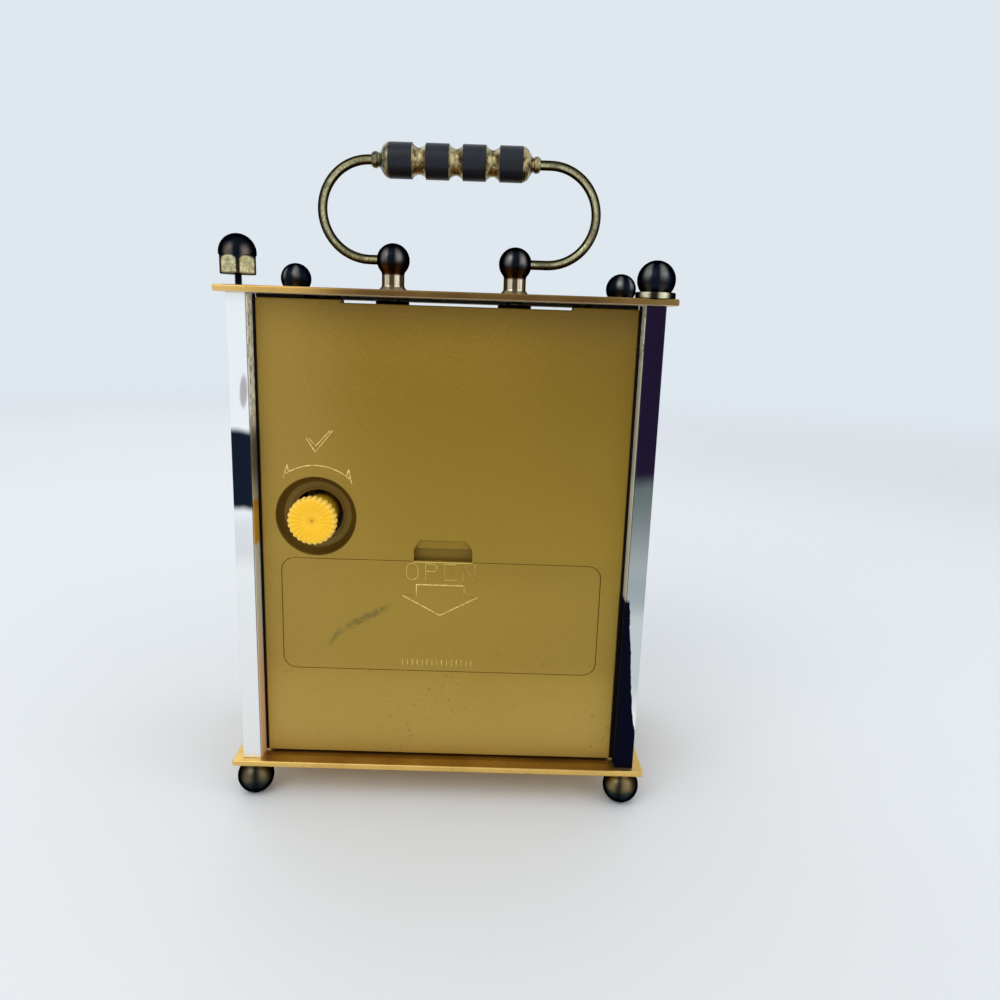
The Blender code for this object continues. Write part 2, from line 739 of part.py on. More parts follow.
def make_post(side, sign):
    """A ball on a neck, with a stud through the top plate and a bore for the wire's end."""
    pivot = POST_PIVOT_HEIGHT - SEAT
    neck_angle = -math.degrees(math.acos(POST_NECK_RADIUS / POST_BALL_RADIUS))
    stud_low = -(PLATE_THICKNESS + SEAT + 2 * SEAT + POST_NUT_HEIGHT)
    profile = arc_points(POST_BALL_RADIUS, pivot, 90, neck_angle, 9)
    profile += [
        (POST_NECK_RADIUS, 2 * POST_FLARE_HEIGHT),
        (POST_FLARE_RADIUS, POST_FLARE_HEIGHT),
        (POST_FLARE_RADIUS, 0),
        (POST_STUD_RADIUS, 0),
        (POST_STUD_RADIUS, stud_low),
        (0, stud_low),
    ]
    x = sign * POST_OFFSET
    post = turned(f"{side}_handle_post", profile, "bronzed_brass", (x, 0, TOP_TOP + SEAT))
    bore = WIRE_RADIUS + FIT
    bore_length = WIRE_IN_BALL + SEAT + OVERRUN
    start = x + sign * (POST_BALL_RADIUS - WIRE_IN_BALL - SEAT)
    tool = round_bar(
        f"{side}_handle_post_bore",
        bore,
        bore_length,
        "bronzed_brass",
        (min(start, start + sign * bore_length), 0, PIVOT_Z),
        ALONG_X,
    )
    cut(post, tool)
    flat(
        f"{side}_post_nut",
        [hexagon(POST_NUT_FLATS), circle(POST_STUD_RADIUS + FIT)],
        POST_NUT_HEIGHT,
        "black_steel",
        (x, 0, TOP_LOW - SEAT - POST_NUT_HEIGHT / 2),
        (0, 0, 0),
    )


def bow_route(sign, bow_centre):
    """One side of the wire, from its end in the ball round the bow to the middle of the grip."""
    rise = (GRIP_Z - PIVOT_Z) / 2
    start = POST_OFFSET + POST_BALL_RADIUS - WIRE_IN_BALL
    points = [(sign * start, 0, PIVOT_Z)]
    steps = 18
    for step in range(steps + 1):
        angle = -math.pi / 2 + math.pi * step / steps
        points.append(
            (sign * (bow_centre + rise * math.cos(angle)), 0, PIVOT_Z + rise * (1 + math.sin(angle)))
        )
    return points


def make_handle():
    for side, sign in (("left", -1), ("right", 1)):
        make_post(side, sign)
    pivot = (0, 0, PIVOT_Z)
    route = bow_route(-1, BOW_CENTRE_LEFT) + bow_route(1, BOW_CENTRE_RIGHT)[::-1]
    wire("handle_wire", route, WIRE_RADIUS, "antique_wire", pivot, roundness=3)
    make_grip()


def grip_profile():
    """The grip from its middle out to one end, as (distance from the middle, radius)."""
    points = []
    pitch = GRIP_BAND_LENGTH + GRIP_GROOVE_LENGTH
    first_groove = -(GRIP_BANDS - 2) / 2 * pitch
    half_groove = GRIP_GROOVE_LENGTH / 2
    groove_depth = GRIP_RADIUS - GRIP_GROOVE_RADIUS
    for groove in range(GRIP_BANDS - 1):
        middle = first_groove + groove * pitch
        for step in range(7):
            share = step / 3 - 1
            points.append((middle + share * half_groove, GRIP_RADIUS - groove_depth * (1 - share**2)))
    end = (GRIP_BANDS * GRIP_BAND_LENGTH + (GRIP_BANDS - 1) * GRIP_GROOVE_LENGTH) / 2
    half_bead = GRIP_BEAD_LENGTH / 2
    ending = [
        (end, GRIP_RADIUS),
        (end + GRIP_SHOULDER_LENGTH / 2, (GRIP_RADIUS + GRIP_SHOULDER_RADIUS) / 2 + GRIP_BEAD_LENGTH / 5),
        (end + GRIP_SHOULDER_LENGTH, GRIP_SHOULDER_RADIUS * 3 / 4),
        (end + GRIP_SHOULDER_LENGTH + half_bead, GRIP_BEAD_RADIUS),
        (end + GRIP_SHOULDER_LENGTH + 2 * half_bead, (GRIP_BEAD_RADIUS + WIRE_RADIUS) / 2),
    ]
    return [(-x, r) for x, r in reversed(ending)] + points + ending


def make_grip():
    bore = WIRE_RADIUS + SEAT
    outside = [(radius, place) for place, radius in reversed(grip_profile())]
    profile = [(bore, outside[0][1])] + outside + [(bore, outside[-1][1])]
    turned("handle_grip", profile, "grip_gilt", (0, 0, GRIP_Z), ALONG_X, closed=True, sides=18)


# Case


def case_box(name, back, front, margin_x, low, high, finish="gold_paint"):
    return block(name, (-margin_x, front, low), (margin_x, back, high), finish)


def cut_top_recess(shell, name, back, front):
    """The middle of the case's top lies lower, for the handle's nuts, between two end pads."""
    reach_x = CASE_X - TOP_PAD_WIDTH
    low = CASE_HIGH - TOP_RECESS_DEPTH
    cut(shell, case_box(f"{name}_top_recess", back, front, reach_x, low, CASE_HIGH + OVERRUN))


def make_case_front():
    shell = block(
        "case_front",
        (-CASE_X, -CASE_Y, CASE_LOW),
        (CASE_X, -SEAT / 2, CASE_HIGH),
        "gold_paint",
        bevel=CASE_BEVEL,
    )
    step_y = MOUNT_FRONT - SEAT
    inner_y = -CASE_Y + CASE_WALL
    cut(
        shell,
        case_box("case_front_cavity", OVERRUN, step_y, CAVITY_X, CAVITY_LOW, CAVITY_HIGH),
        case_box("case_front_stack_room", step_y + OVERRUN, inner_y, STACK_X, CAVITY_LOW, CAVITY_HIGH),
    )
    cut_top_recess(shell, "case_front", OVERRUN, inner_y)
    window_x = CASE_X - WINDOW_BORDER
    window = block(
        "case_front_window",
        (-window_x, -CASE_Y - OVERRUN, CASE_LOW + WINDOW_BORDER),
        (window_x, inner_y + OVERRUN, CASE_HIGH - WINDOW_BORDER),
        "gold_paint",
    )
    cut(shell, window)
    for name, x, z in mount_screw_places():
        depth = MOUNT_SCREW_LENGTH + 2 * SEAT
        tool = round_bar(
            f"case_front_{name}_hole",
            MOUNT_SCREW_RADIUS + FIT,
            depth + OVERRUN,
            "gold_paint",
            (x, step_y + OVERRUN, z),
            FACE_FRONT,
            sides=ARBOR_SIDES,
        )
        cut(shell, tool)
    return shell


def make_case_rear():
    shell = block(
        "case_rear",
        (-CASE_X, SEAT / 2, CASE_LOW),
        (CASE_X, CASE_Y, CASE_HIGH),
        "gold_paint",
        bevel=CASE_BEVEL,
    )
    cut(shell, case_box("case_rear_cavity", CASE_Y - CASE_WALL, -OVERRUN, CAVITY_X, CAVITY_LOW, CAVITY_HIGH))
    cut_top_recess(shell, "case_rear", CASE_Y - CASE_WALL, -OVERRUN)
    add_case_bosses(shell)
    add_well(shell)
    opening = flat(
        "battery_cover_opening",
        [rounded_rectangle(*cover_sides(COVER_GAP), COVER_CORNER)],
        CASE_WALL + 2 * OVERRUN,
        "gold_paint",
        (0, CASE_Y - CASE_WALL / 2, 0),
    )
    cut(shell, opening)
    add_notch(shell)


def add_case_bosses(shell):
    """Two bosses on the case's floor take the screws from under the base plate."""
    for side, x in (("left", -CASE_SCREW_OFFSET), ("right", CASE_SCREW_OFFSET)):
        bore_high = FOOT_HEIGHT + CASE_SCREW_LENGTH
        boss = block(
            f"case_boss_{side}",
            (x - CASE_BOSS_RADIUS, SEAT / 2, CASE_LOW + CASE_WALL / 2),
            (x + CASE_BOSS_RADIUS, CASE_SCREW_Y + CASE_BOSS_RADIUS, bore_high + CASE_WALL / 2),
            "gold_paint",
        )
        join(shell, boss)
        bore = round_bar(
            f"case_boss_bore_{side}",
            CASE_SCREW_RADIUS + FIT,
            bore_high - CASE_LOW + OVERRUN,
            "gold_paint",
            (x, CASE_SCREW_Y, CASE_LOW - OVERRUN),
        )
        cut(shell, bore)


def add_well(shell):
    """The dished well round the knob, with its cup behind the wall and the hole in its floor."""
    x, z = STEM_AT
    cup_depth = WELL_DEPTH + WELL_WALL
    cup = round_bar(
        "knob_well_cup",
        WELL_RADIUS + WELL_WALL,
        cup_depth - CASE_WALL / 2,
        "gold_paint",
        (x, CASE_Y - CASE_WALL / 2, z),
        FACE_FRONT,
        sides=32,
    )
    join(shell, cup)
    run_out = OVERRUN * (WELL_RADIUS - WELL_FLOOR_RADIUS) / WELL_DEPTH
    well = round_bar(
        "knob_well",
        WELL_RADIUS + run_out,
        WELL_DEPTH + OVERRUN,
        "gold_paint",
        (x, CASE_Y + OVERRUN, z),
        FACE_FRONT,
        sides=32,
        end_radius=WELL_FLOOR_RADIUS,
    )
    through = round_bar(
        "knob_well_hole",
        WELL_HOLE_RADIUS,
        WELL_WALL + 2 * OVERRUN,
        "gold_paint",
        (x, CASE_Y - WELL_DEPTH + OVERRUN, z),
        FACE_FRONT,
        sides=32,
    )
    cut(shell, well, through)


def cover_sides(grow):
    left = COVER_CENTRE_X - COVER_WIDTH / 2 - grow
    right = COVER_CENTRE_X + COVER_WIDTH / 2 + grow
    return left, BASE_TOP + COVER_LOW - grow, right, BASE_TOP + COVER_HIGH + grow


def make_battery_tray():
    """The tray behind the cover: the bay of the cell, with pockets for the cover's tabs and latch."""
    left, cover_low, right, _ = cover_sides(0)
    bay_left = COVER_CENTRE_X - BAY_LENGTH / 2
    bay_low = BASE_TOP + BAY_LOW
    bay_high = bay_low + BAY_HEIGHT
    pocket_low = cover_low - COVER_TAB_DROP - SEAT
    tray = block(
        "battery_tray",
        (left - COVER_GAP - BAY_WALL, BAY_FRONT - BAY_WALL, pocket_low - BAY_WALL),
        (right + COVER_GAP + BAY_WALL, TRAY_BACK, bay_high + LATCH_RISE + BAY_WALL),
        "gold_paint",
    )
    room = block(
        "battery_room",
        (bay_left, BAY_FRONT, bay_low),
        (bay_left + BAY_LENGTH, TRAY_BACK + OVERRUN, bay_high),
        "gold_paint",
    )
    cut(tray, room)
    for side, sign in (("left", -1), ("right", 1)):
        middle = COVER_CENTRE_X + sign * COVER_TAB_OFFSET
        half = COVER_TAB_WIDTH / 2 + 2 * SEAT
        tab_pocket = block(
            f"cover_tab_pocket_{side}",
            (middle - half, tab_outer_y() - 2 * COVER_TAB_DEPTH, pocket_low),
            (middle + half, TRAY_BACK + OVERRUN, bay_low + OVERRUN),
            "gold_paint",
        )
        cut(tray, tab_pocket)
    latch_half = COVER_LATCH_WIDTH / 2 + 2 * SEAT
    latch_pocket = block(
        "cover_latch_pocket",
        (COVER_CENTRE_X - latch_half, tab_outer_y() - COVER_LATCH_DEPTH - 2 * SEAT, bay_high - OVERRUN),
        (COVER_CENTRE_X + latch_half, TRAY_BACK + OVERRUN, bay_high + LATCH_RISE),
        "gold_paint",
    )
    cut(tray, latch_pocket)
    for name, x in lead_places():
        drill(tray, (x, LEAD_Z), LEAD_HOLE_RADIUS, BAY_FRONT - BAY_WALL, BAY_FRONT)


def tab_outer_y():
    """The outer side of the cover's tabs, just behind the case's wall."""
    return CASE_Y - CASE_WALL - FIT


def add_notch(shell):
    """The finger notch above the cover. Its upper side slopes in."""
    _, _, _, high = cover_sides(COVER_GAP)
    half = NOTCH_WIDTH / 2
    outer = rounded_rectangle(-half, high - NOTCH_CORNER * 2, half, high + NOTCH_HEIGHT, NOTCH_CORNER)
    middle = CASE_Y - (NOTCH_DEPTH - OVERRUN) / 2
    notch = flat("finger_notch", [outer], NOTCH_DEPTH + OVERRUN, "gold_paint", (0, middle, 0))
    slope_top(notch, high + NOTCH_HEIGHT)
    pocket_wall = block(
        "finger_notch_wall",
        (-half - BAY_WALL, CASE_Y - NOTCH_DEPTH - BAY_WALL, high),
        (half + BAY_WALL, CASE_Y - CASE_WALL / 2, high + NOTCH_HEIGHT + BAY_WALL / 2),
        "gold_paint",
    )
    join(shell, pocket_wall)
    cut(shell, notch)


def slope_top(notch, top):
    """Lowers the inner end of the notch's upper side by NOTCH_SLOPE."""
    for vertex in notch.data.vertices:
        if vertex.co.z > 0 and vertex.co.y > top - NOTCH_CORNER - MERGE:
            vertex.co.y -= NOTCH_SLOPE


def make_battery_cover():
    """The cover, whose origin is on the outer bottom edge that it tilts about."""
    left, low, right, high = cover_sides(0)
    pivot = (COVER_CENTRE_X, CASE_Y, low)
    outline = rounded_rectangle(left - pivot[0], 0, right - pivot[0], high - low, COVER_CORNER)
    place = (pivot[0], CASE_Y - COVER_THICKNESS / 2, low)
    cover = flat("battery_cover", [outline], COVER_THICKNESS, "gold_paint", place)
    for side, sign in (("left", -1), ("right", 1)):
        middle = COVER_CENTRE_X + sign * COVER_TAB_OFFSET
        half = COVER_TAB_WIDTH / 2
        outer_y = tab_outer_y()
        tab = block(
            f"battery_cover_tab_{side}",
            (middle - half, outer_y - COVER_TAB_DEPTH, low - COVER_TAB_DROP),
            (middle + half, outer_y, low + COVER_TAB_RISE),
            "gold_paint",
        )
        web = block(
            f"battery_cover_web_{side}",
            (middle - half, outer_y - COVER_TAB_DEPTH / 2, low + COVER_THICKNESS / 2),
            (middle + half, CASE_Y - COVER_THICKNESS / 2, low + COVER_TAB_RISE - MERGE),
            "gold_paint",
        )
        join(cover, tab, web)
    latch_half = COVER_LATCH_WIDTH / 2
    latch_high = BASE_TOP + BAY_LOW + BAY_HEIGHT + LATCH_RISE / 2
    latch = block(
        "battery_cover_latch",
        (COVER_CENTRE_X - latch_half, tab_outer_y() - COVER_LATCH_DEPTH, latch_high - COVER_LATCH_THICKNESS),
        (COVER_CENTRE_X + latch_half, CASE_Y - COVER_THICKNESS / 2, latch_high),
        "gold_paint",
    )
    join(cover, latch)


def make_case_screws():
    for side, x in (("left", -CASE_SCREW_OFFSET), ("right", CASE_SCREW_OFFSET)):
        head_top = FOOT_HEIGHT - SEAT
        profile = [
            (0, head_top + CASE_SCREW_LENGTH),
            (CASE_SCREW_RADIUS, head_top + CASE_SCREW_LENGTH),
            (CASE_SCREW_RADIUS, head_top),
            (CASE_SCREW_HEAD_RADIUS, head_top),
            (CASE_SCREW_HEAD_RADIUS, head_top - CASE_SCREW_HEAD_HEIGHT / 2),
            (CASE_SCREW_HEAD_RADIUS * 3 / 4, head_top - CASE_SCREW_HEAD_HEIGHT),
            (0, head_top - CASE_SCREW_HEAD_HEIGHT),
        ]
        turned(f"case_screw_{side}", profile, "bright_steel", (x, CASE_SCREW_Y, 0), sides=12)


# Places of the wheels in the XZ plane
DIAL_AT = Vector((0, DIAL_Z))
MINUTE_WHEEL_AT = DIAL_AT + Vector((reach(MOTION_MODULE, CANNON_TEETH, MINUTE_WHEEL_TEETH), 0))
STEM_AT = MINUTE_WHEEL_AT + Vector((STEM_REACH, 0))
THIRD_AT = DIAL_AT + polar(reach(CENTRE_MODULE, CENTRE_TEETH, SMALL_PINION_TEETH), THIRD_BEARING)
SECOND_AT = THIRD_AT + polar(reach(THIRD_MODULE, THIRD_TEETH, SMALL_PINION_TEETH), SECOND_BEARING)
INTERMEDIATE_AT = SECOND_AT + polar(
    reach(SECOND_MODULE, SECOND_TEETH, INTERMEDIATE_PINION_TEETH), INTERMEDIATE_BEARING
)
ROTOR_AT = INTERMEDIATE_AT + polar(
    reach(INTERMEDIATE_MODULE, INTERMEDIATE_TEETH, SMALL_PINION_TEETH), ROTOR_BEARING
)
PIVOTS_AT = (THIRD_AT, SECOND_AT, INTERMEDIATE_AT, ROTOR_AT)


def setting_wheel_bearing():
    """The angle at the minute wheel between the stem and the setting wheel."""
    near = reach(MOTION_MODULE, SETTING_WHEEL_TEETH, MINUTE_WHEEL_TEETH)
    far = reach(MOTION_MODULE, SETTING_WHEEL_TEETH, STEM_TEETH)
    return math.acos((near**2 + STEM_REACH**2 - far**2) / (2 * near * STEM_REACH))


SETTING_BEARING = setting_wheel_bearing()
SETTING_AT = MINUTE_WHEEL_AT + polar(
    reach(MOTION_MODULE, SETTING_WHEEL_TEETH, MINUTE_WHEEL_TEETH), SETTING_BEARING
)

LEAD_Z = BASE_TOP + BAY_LOW + BAY_HEIGHT / 4


def level(number):
    """The middle of a wheel level, counted back from the mounting plate."""
    return MOUNT_BACK + WHEEL_SPACE / 2 + number * LEVEL_PITCH + WHEEL_THICKNESS / 2


def mount_screw_places():
    x = (STACK_X + CAVITY_X) / 2
    for side, sign in (("left", -1), ("right", 1)):
        yield f"mount_screw_{side}", sign * x, DIAL_Z


def lead_places():
    reach_x = BAY_LENGTH / 2 - 3 * LEAD_HOLE_RADIUS
    return (("negative_lead", COVER_CENTRE_X - reach_x), ("positive_lead", COVER_CENTRE_X + reach_x))


# Movement


def at(spot, y):
    return (spot[0], y, spot[1])


def gear_disc(name, spot, number, teeth, module, phase, finish):
    return flat(name, [gear(teeth, module, phase)], WHEEL_THICKNESS, finish, at(spot, level(number)))


def drill(piece, spot, radius, front, back, sides=ARBOR_SIDES):
    """A bore through a piece, along Y."""
    length = back - front + 2 * OVERRUN
    end = at(spot, back + OVERRUN)
    cut(piece, round_bar(f"{piece.name}_bore", radius, length, "bright_steel", end, FACE_FRONT, sides=sides))


def arbor(name, spot, finish, radius=ARBOR_RADIUS, back=None):
    """A shaft from its pivot in the mounting plate to its pivot in the rear plate."""
    start = MOUNT_BACK - PIVOT_LENGTH
    end = REAR_PLATE_FRONT + PIVOT_LENGTH if back is None else back
    return round_bar(name, radius, end - start, finish, at(spot, end), FACE_FRONT, sides=ARBOR_SIDES)


def going_wheel(name, spot, wheel_level, teeth, module, phase, pinion_level, pinion):
    """A wheel and the pinion on its arbor. The pinion reaches from its own level to the wheel."""
    shaft = arbor(name, spot, "gear_plastic")
    disc = gear_disc(f"{name}_disc", spot, wheel_level, teeth, module, phase, "gear_plastic")
    pinion_teeth, pinion_module, pinion_phase = pinion
    front = level(pinion_level) - WHEEL_THICKNESS / 2
    back = level(wheel_level)
    leaves = flat(
        f"{name}_pinion",
        [gear(pinion_teeth, pinion_module, pinion_phase)],
        back - front,
        "gear_plastic",
        at(spot, (back + front) / 2),
    )
    join(shaft, disc, leaves)
    return shaft


def make_going_train():
    """Rotor, intermediate, second and third wheel drive the centre wheel."""
    bore = CENTRE_ARBOR_RADIUS + FIT
    centre = gear_disc("centre_wheel", DIAL_AT, 2, CENTRE_TEETH, CENTRE_MODULE, 0, "gear_brass")
    drill(centre, DIAL_AT, bore, level(2) - WHEEL_THICKNESS / 2, level(2) + WHEEL_THICKNESS / 2)
    third_pinion = meshing_phase(CENTRE_TEETH, 0, SMALL_PINION_TEETH, THIRD_BEARING)
    pinion = (SMALL_PINION_TEETH, CENTRE_MODULE, third_pinion)
    going_wheel("third_wheel", THIRD_AT, 3, THIRD_TEETH, THIRD_MODULE, 0, 2, pinion)
    second_pinion = meshing_phase(THIRD_TEETH, 0, SMALL_PINION_TEETH, SECOND_BEARING)
    pinion = (SMALL_PINION_TEETH, THIRD_MODULE, second_pinion)
    going_wheel("second_wheel", SECOND_AT, 4, SECOND_TEETH, SECOND_MODULE, 0, 3, pinion)
    inner = meshing_phase(SECOND_TEETH, 0, INTERMEDIATE_PINION_TEETH, INTERMEDIATE_BEARING)
    going_wheel(
        "intermediate_wheel",
        INTERMEDIATE_AT,
        5,
        INTERMEDIATE_TEETH,
        INTERMEDIATE_MODULE,
        0,
        4,
        (INTERMEDIATE_PINION_TEETH, SECOND_MODULE, inner),
    )
    rotor_phase = meshing_phase(INTERMEDIATE_TEETH, 0, SMALL_PINION_TEETH, ROTOR_BEARING)
    rotor = arbor("rotor", ROTOR_AT, "bright_steel")
    pinion = gear_disc(
        "rotor_pinion", ROTOR_AT, 5, SMALL_PINION_TEETH, INTERMEDIATE_MODULE, rotor_phase, "bright_steel"
    )
    magnet = round_bar(
        "rotor_magnet",
        MAGNET_RADIUS,
        MAGNET_LENGTH,
        "bright_steel",
        at(ROTOR_AT, level(6) + MAGNET_LENGTH / 2),
        FACE_FRONT,
    )
    join(rotor, pinion, magnet)


def make_motion_work():
    """The knob's stem drives the setting wheel, the minute wheel, the minute arbor and the hour wheel."""
    minute_phase = 0.0
    cannon_phase = meshing_phase(MINUTE_WHEEL_TEETH, minute_phase, CANNON_TEETH, math.pi)
    hour_phase = meshing_phase(MINUTE_PINION_TEETH, 0, HOUR_WHEEL_TEETH, math.pi)
    setting_phase = meshing_phase(MINUTE_WHEEL_TEETH, minute_phase, SETTING_WHEEL_TEETH, SETTING_BEARING)
    to_stem = STEM_AT - SETTING_AT
    stem_bearing = math.atan2(to_stem[1], to_stem[0])
    stem_phase = meshing_phase(SETTING_WHEEL_TEETH, setting_phase, STEM_TEETH, stem_bearing)
    stud_bore = STUD_RADIUS + FIT

    minute = gear_disc(
        "minute_wheel", MINUTE_WHEEL_AT, 1, MINUTE_WHEEL_TEETH, MOTION_MODULE, minute_phase, "gear_plastic"
    )
    front = level(0) - WHEEL_THICKNESS / 2
    back = level(1)
    leaves = flat(
        "minute_wheel_pinion",
        [gear(MINUTE_PINION_TEETH, MOTION_MODULE, 0)],
        back - front,
        "gear_plastic",
        at(MINUTE_WHEEL_AT, (back + front) / 2),
    )
    join(minute, leaves)
    drill(minute, MINUTE_WHEEL_AT, stud_bore, front, back)
    setting = gear_disc(
        "setting_wheel", SETTING_AT, 1, SETTING_WHEEL_TEETH, MOTION_MODULE, setting_phase, "gear_plastic"
    )
    drill(setting, SETTING_AT, stud_bore, front, back)

    tip = NUT_FRONT
    end = REAR_PLATE_FRONT + PIVOT_LENGTH
    minute_arbor = round_bar(
        "minute_arbor",
        CENTRE_ARBOR_RADIUS,
        end - tip,
        "bright_steel",
        at(DIAL_AT, end),
        FACE_FRONT,
        sides=ARBOR_SIDES,
    )
    cannon = gear_disc(
        "minute_arbor_cannon", DIAL_AT, 1, CANNON_TEETH, MOTION_MODULE, cannon_phase, "bright_steel"
    )
    join(minute_arbor, cannon)

    pipe_bore = CENTRE_ARBOR_RADIUS + FIT
    hour = gear_disc("hour_wheel", DIAL_AT, 0, HOUR_WHEEL_TEETH, MOTION_MODULE, hour_phase, "gear_plastic")
    pipe_back = level(0)
    pipe_front = HOUR_HAND_Y - HAND_THICKNESS / 2 - FIT
    pipe = flat(
        "hour_wheel_pipe",
        [circle(PIPE_RADIUS)],
        pipe_back - pipe_front,
        "gear_plastic",
        at(DIAL_AT, (pipe_back + pipe_front) / 2),
    )
    join(hour, pipe)
    drill(hour, DIAL_AT, pipe_bore, pipe_front, back)

    stem_start = MOUNT_BACK - PIVOT_LENGTH
    stem_end = KNOB_FRONT + KNOB_GRIP_LENGTH
    stem = round_bar(
        "setting_stem",
        STEM_RADIUS,
        stem_end - stem_start,
        "bright_steel",
        at(STEM_AT, stem_end),
        FACE_FRONT,
        sides=12,
    )
    pinion = gear_disc(
        "setting_stem_pinion", STEM_AT, 1, STEM_TEETH, MOTION_MODULE, stem_phase, "bright_steel"
    )
    join(stem, pinion)


KNOB_FRONT = CASE_Y + KNOB_PROUD - KNOB_HEAD_HEIGHT - KNOB_NECK_LENGTH


def knob_outline():
    """Round flutes, each between two narrow valleys."""
    pitch = 2 * math.pi / KNOB_FLUTES
    corners = ((-0.5, KNOB_RADIUS - KNOB_FLUTE_DEPTH), (-0.25, KNOB_RADIUS), (0.25, KNOB_RADIUS))
    points = []
    for flute in range(KNOB_FLUTES):
        for share, radius in corners:
            angle = (flute + share) * pitch
            points.append((radius * math.cos(angle), radius * math.sin(angle)))
    return points


def make_knob():
    face = CASE_Y + KNOB_PROUD
    neck_top = face - KNOB_HEAD_HEIGHT
    head_at = at(STEM_AT, face - KNOB_HEAD_HEIGHT / 2)
    knob = flat("set_knob", [knob_outline()], KNOB_HEAD_HEIGHT, "knob_yellow", head_at)
    neck = round_bar(
        "set_knob_neck",
        KNOB_NECK_RADIUS,
        neck_top - KNOB_FRONT + KNOB_HEAD_HEIGHT / 2,
        "knob_yellow",
        at(STEM_AT, neck_top + KNOB_HEAD_HEIGHT / 2),
        FACE_FRONT,
    )
    join(knob, neck)
    bore = round_bar(
        "set_knob_bore",
        STEM_RADIUS + FIT,
        KNOB_GRIP_LENGTH + SEAT + OVERRUN,
        "knob_yellow",
        at(STEM_AT, KNOB_FRONT + KNOB_GRIP_LENGTH + SEAT),
        FACE_FRONT,
        sides=12,
    )
    dish = round_bar(
        "set_knob_dish",
        KNOB_DISH_RADIUS,
        KNOB_DISH_DEPTH + OVERRUN,
        "knob_yellow",
        at(STEM_AT, face + OVERRUN),
        FACE_FRONT,
        sides=24,
        end_radius=KNOB_DISH_RADIUS / 4,
    )
    cut(knob, bore, dish)


def make_mounting_plate():
    """The front plate of the movement, with the threaded bush and the studs of two wheels."""
    half = CAVITY_X - SEAT
    outer = rectangle(-half, -MOUNT_BELOW, half, rear_plate_top() + PLATE_TOP_EDGE)
    holes = [circle(ARBOR_RADIUS + FIT, spot - DIAL_AT, ARBOR_SIDES) for spot in PIVOTS_AT]
    holes.append(circle(STEM_RADIUS + FIT, STEM_AT - DIAL_AT, 12))
    for _, x, z in mount_screw_places():
        holes.append(circle(MOUNT_SCREW_RADIUS + FIT, (x, z - DIAL_Z), ARBOR_SIDES))
    middle = (MOUNT_FRONT + MOUNT_BACK) / 2
    plate = flat("mounting_plate", [outer, *holes], MOVEMENT_PLATE, "movement_plastic", at(DIAL_AT, middle))
    bush_front = BUSH_NUT_FRONT - HAND_SPACE / 4
    bush = flat(
        "mounting_plate_bush",
        [circle(BUSH_RADIUS)],
        middle - bush_front,
        "movement_plastic",
        at(DIAL_AT, (middle + bush_front) / 2),
    )
    join(plate, bush)
    stud_end = level(1) + LEVEL_PITCH / 2
    for name, spot in (("minute", MINUTE_WHEEL_AT), ("setting", SETTING_AT)):
        join(
            plate,
            round_bar(
                f"{name}_wheel_stud",
                STUD_RADIUS,
                stud_end - middle,
                "movement_plastic",
                at(spot, stud_end),
                FACE_FRONT,
                sides=ARBOR_SIDES,
            ),
        )
    drill(plate, DIAL_AT, PIPE_RADIUS + FIT, bush_front, MOUNT_BACK, HOLE_SIDES)
    for place in pillar_places():
        drill(plate, DIAL_AT + Vector(place), PILLAR_PIN_RADIUS + FIT, MOUNT_FRONT, MOUNT_BACK)


def coil_window():
    """The hole in the rear plate that the back of the coil stands in, from the dial's centre."""
    x, z = coil_middle()
    half_x = COIL_LENGTH / 2 + HAND_SPACE
    half_z = COIL_RADIUS - FIT
    return x - half_x, z - half_z, x + half_x, z + half_z


def rear_plate_top():
    _, _, _, high = coil_window()
    return high + PLATE_TOP_EDGE


def pillar_places():
    """The rear plate's corner pillars, measured from the dial's centre."""
    xs = (-REAR_PLATE_LEFT + PILLAR_INSET, REAR_PLATE_RIGHT - PILLAR_INSET)
    zs = (-REAR_PLATE_BELOW + PILLAR_INSET, rear_plate_top() - PILLAR_INSET)
    return [(x, z) for x in xs for z in zs]


def make_rear_plate():
    outer = rectangle(-REAR_PLATE_LEFT, -REAR_PLATE_BELOW, REAR_PLATE_RIGHT, rear_plate_top())
    holes = [circle(CENTRE_ARBOR_RADIUS + FIT, sides=ARBOR_SIDES)]
    holes += [circle(ARBOR_RADIUS + FIT, spot - DIAL_AT, ARBOR_SIDES) for spot in PIVOTS_AT]
    holes.append(circle(STEM_RADIUS + FIT, STEM_AT - DIAL_AT, 12))
    holes.append(rectangle(*coil_window()))
    middle = (REAR_PLATE_FRONT + REAR_PLATE_BACK) / 2
    place = at(DIAL_AT, middle)
    plate = flat("movement_rear_plate", [outer, *holes], MOVEMENT_PLATE, "movement_plastic", place)
    shoulder = MOUNT_BACK + SEAT
    pin_end = MOUNT_BACK - PIVOT_LENGTH
    for number, (x, z) in enumerate(pillar_places()):
        spot = DIAL_AT + Vector((x, z))
        pillar = round_bar(
            f"rear_plate_pillar_{number}",
            PILLAR_RADIUS,
            middle - shoulder,
            "movement_plastic",
            at(spot, middle),
            FACE_FRONT,
            sides=ARBOR_SIDES,
        )
        pin = round_bar(
            f"rear_plate_pin_{number}",
            PILLAR_PIN_RADIUS,
            shoulder + OVERRUN - pin_end,
            "movement_plastic",
            at(spot, shoulder + OVERRUN),
            FACE_FRONT,
            sides=ARBOR_SIDES,
        )
        join(plate, pillar, pin)
    return plate


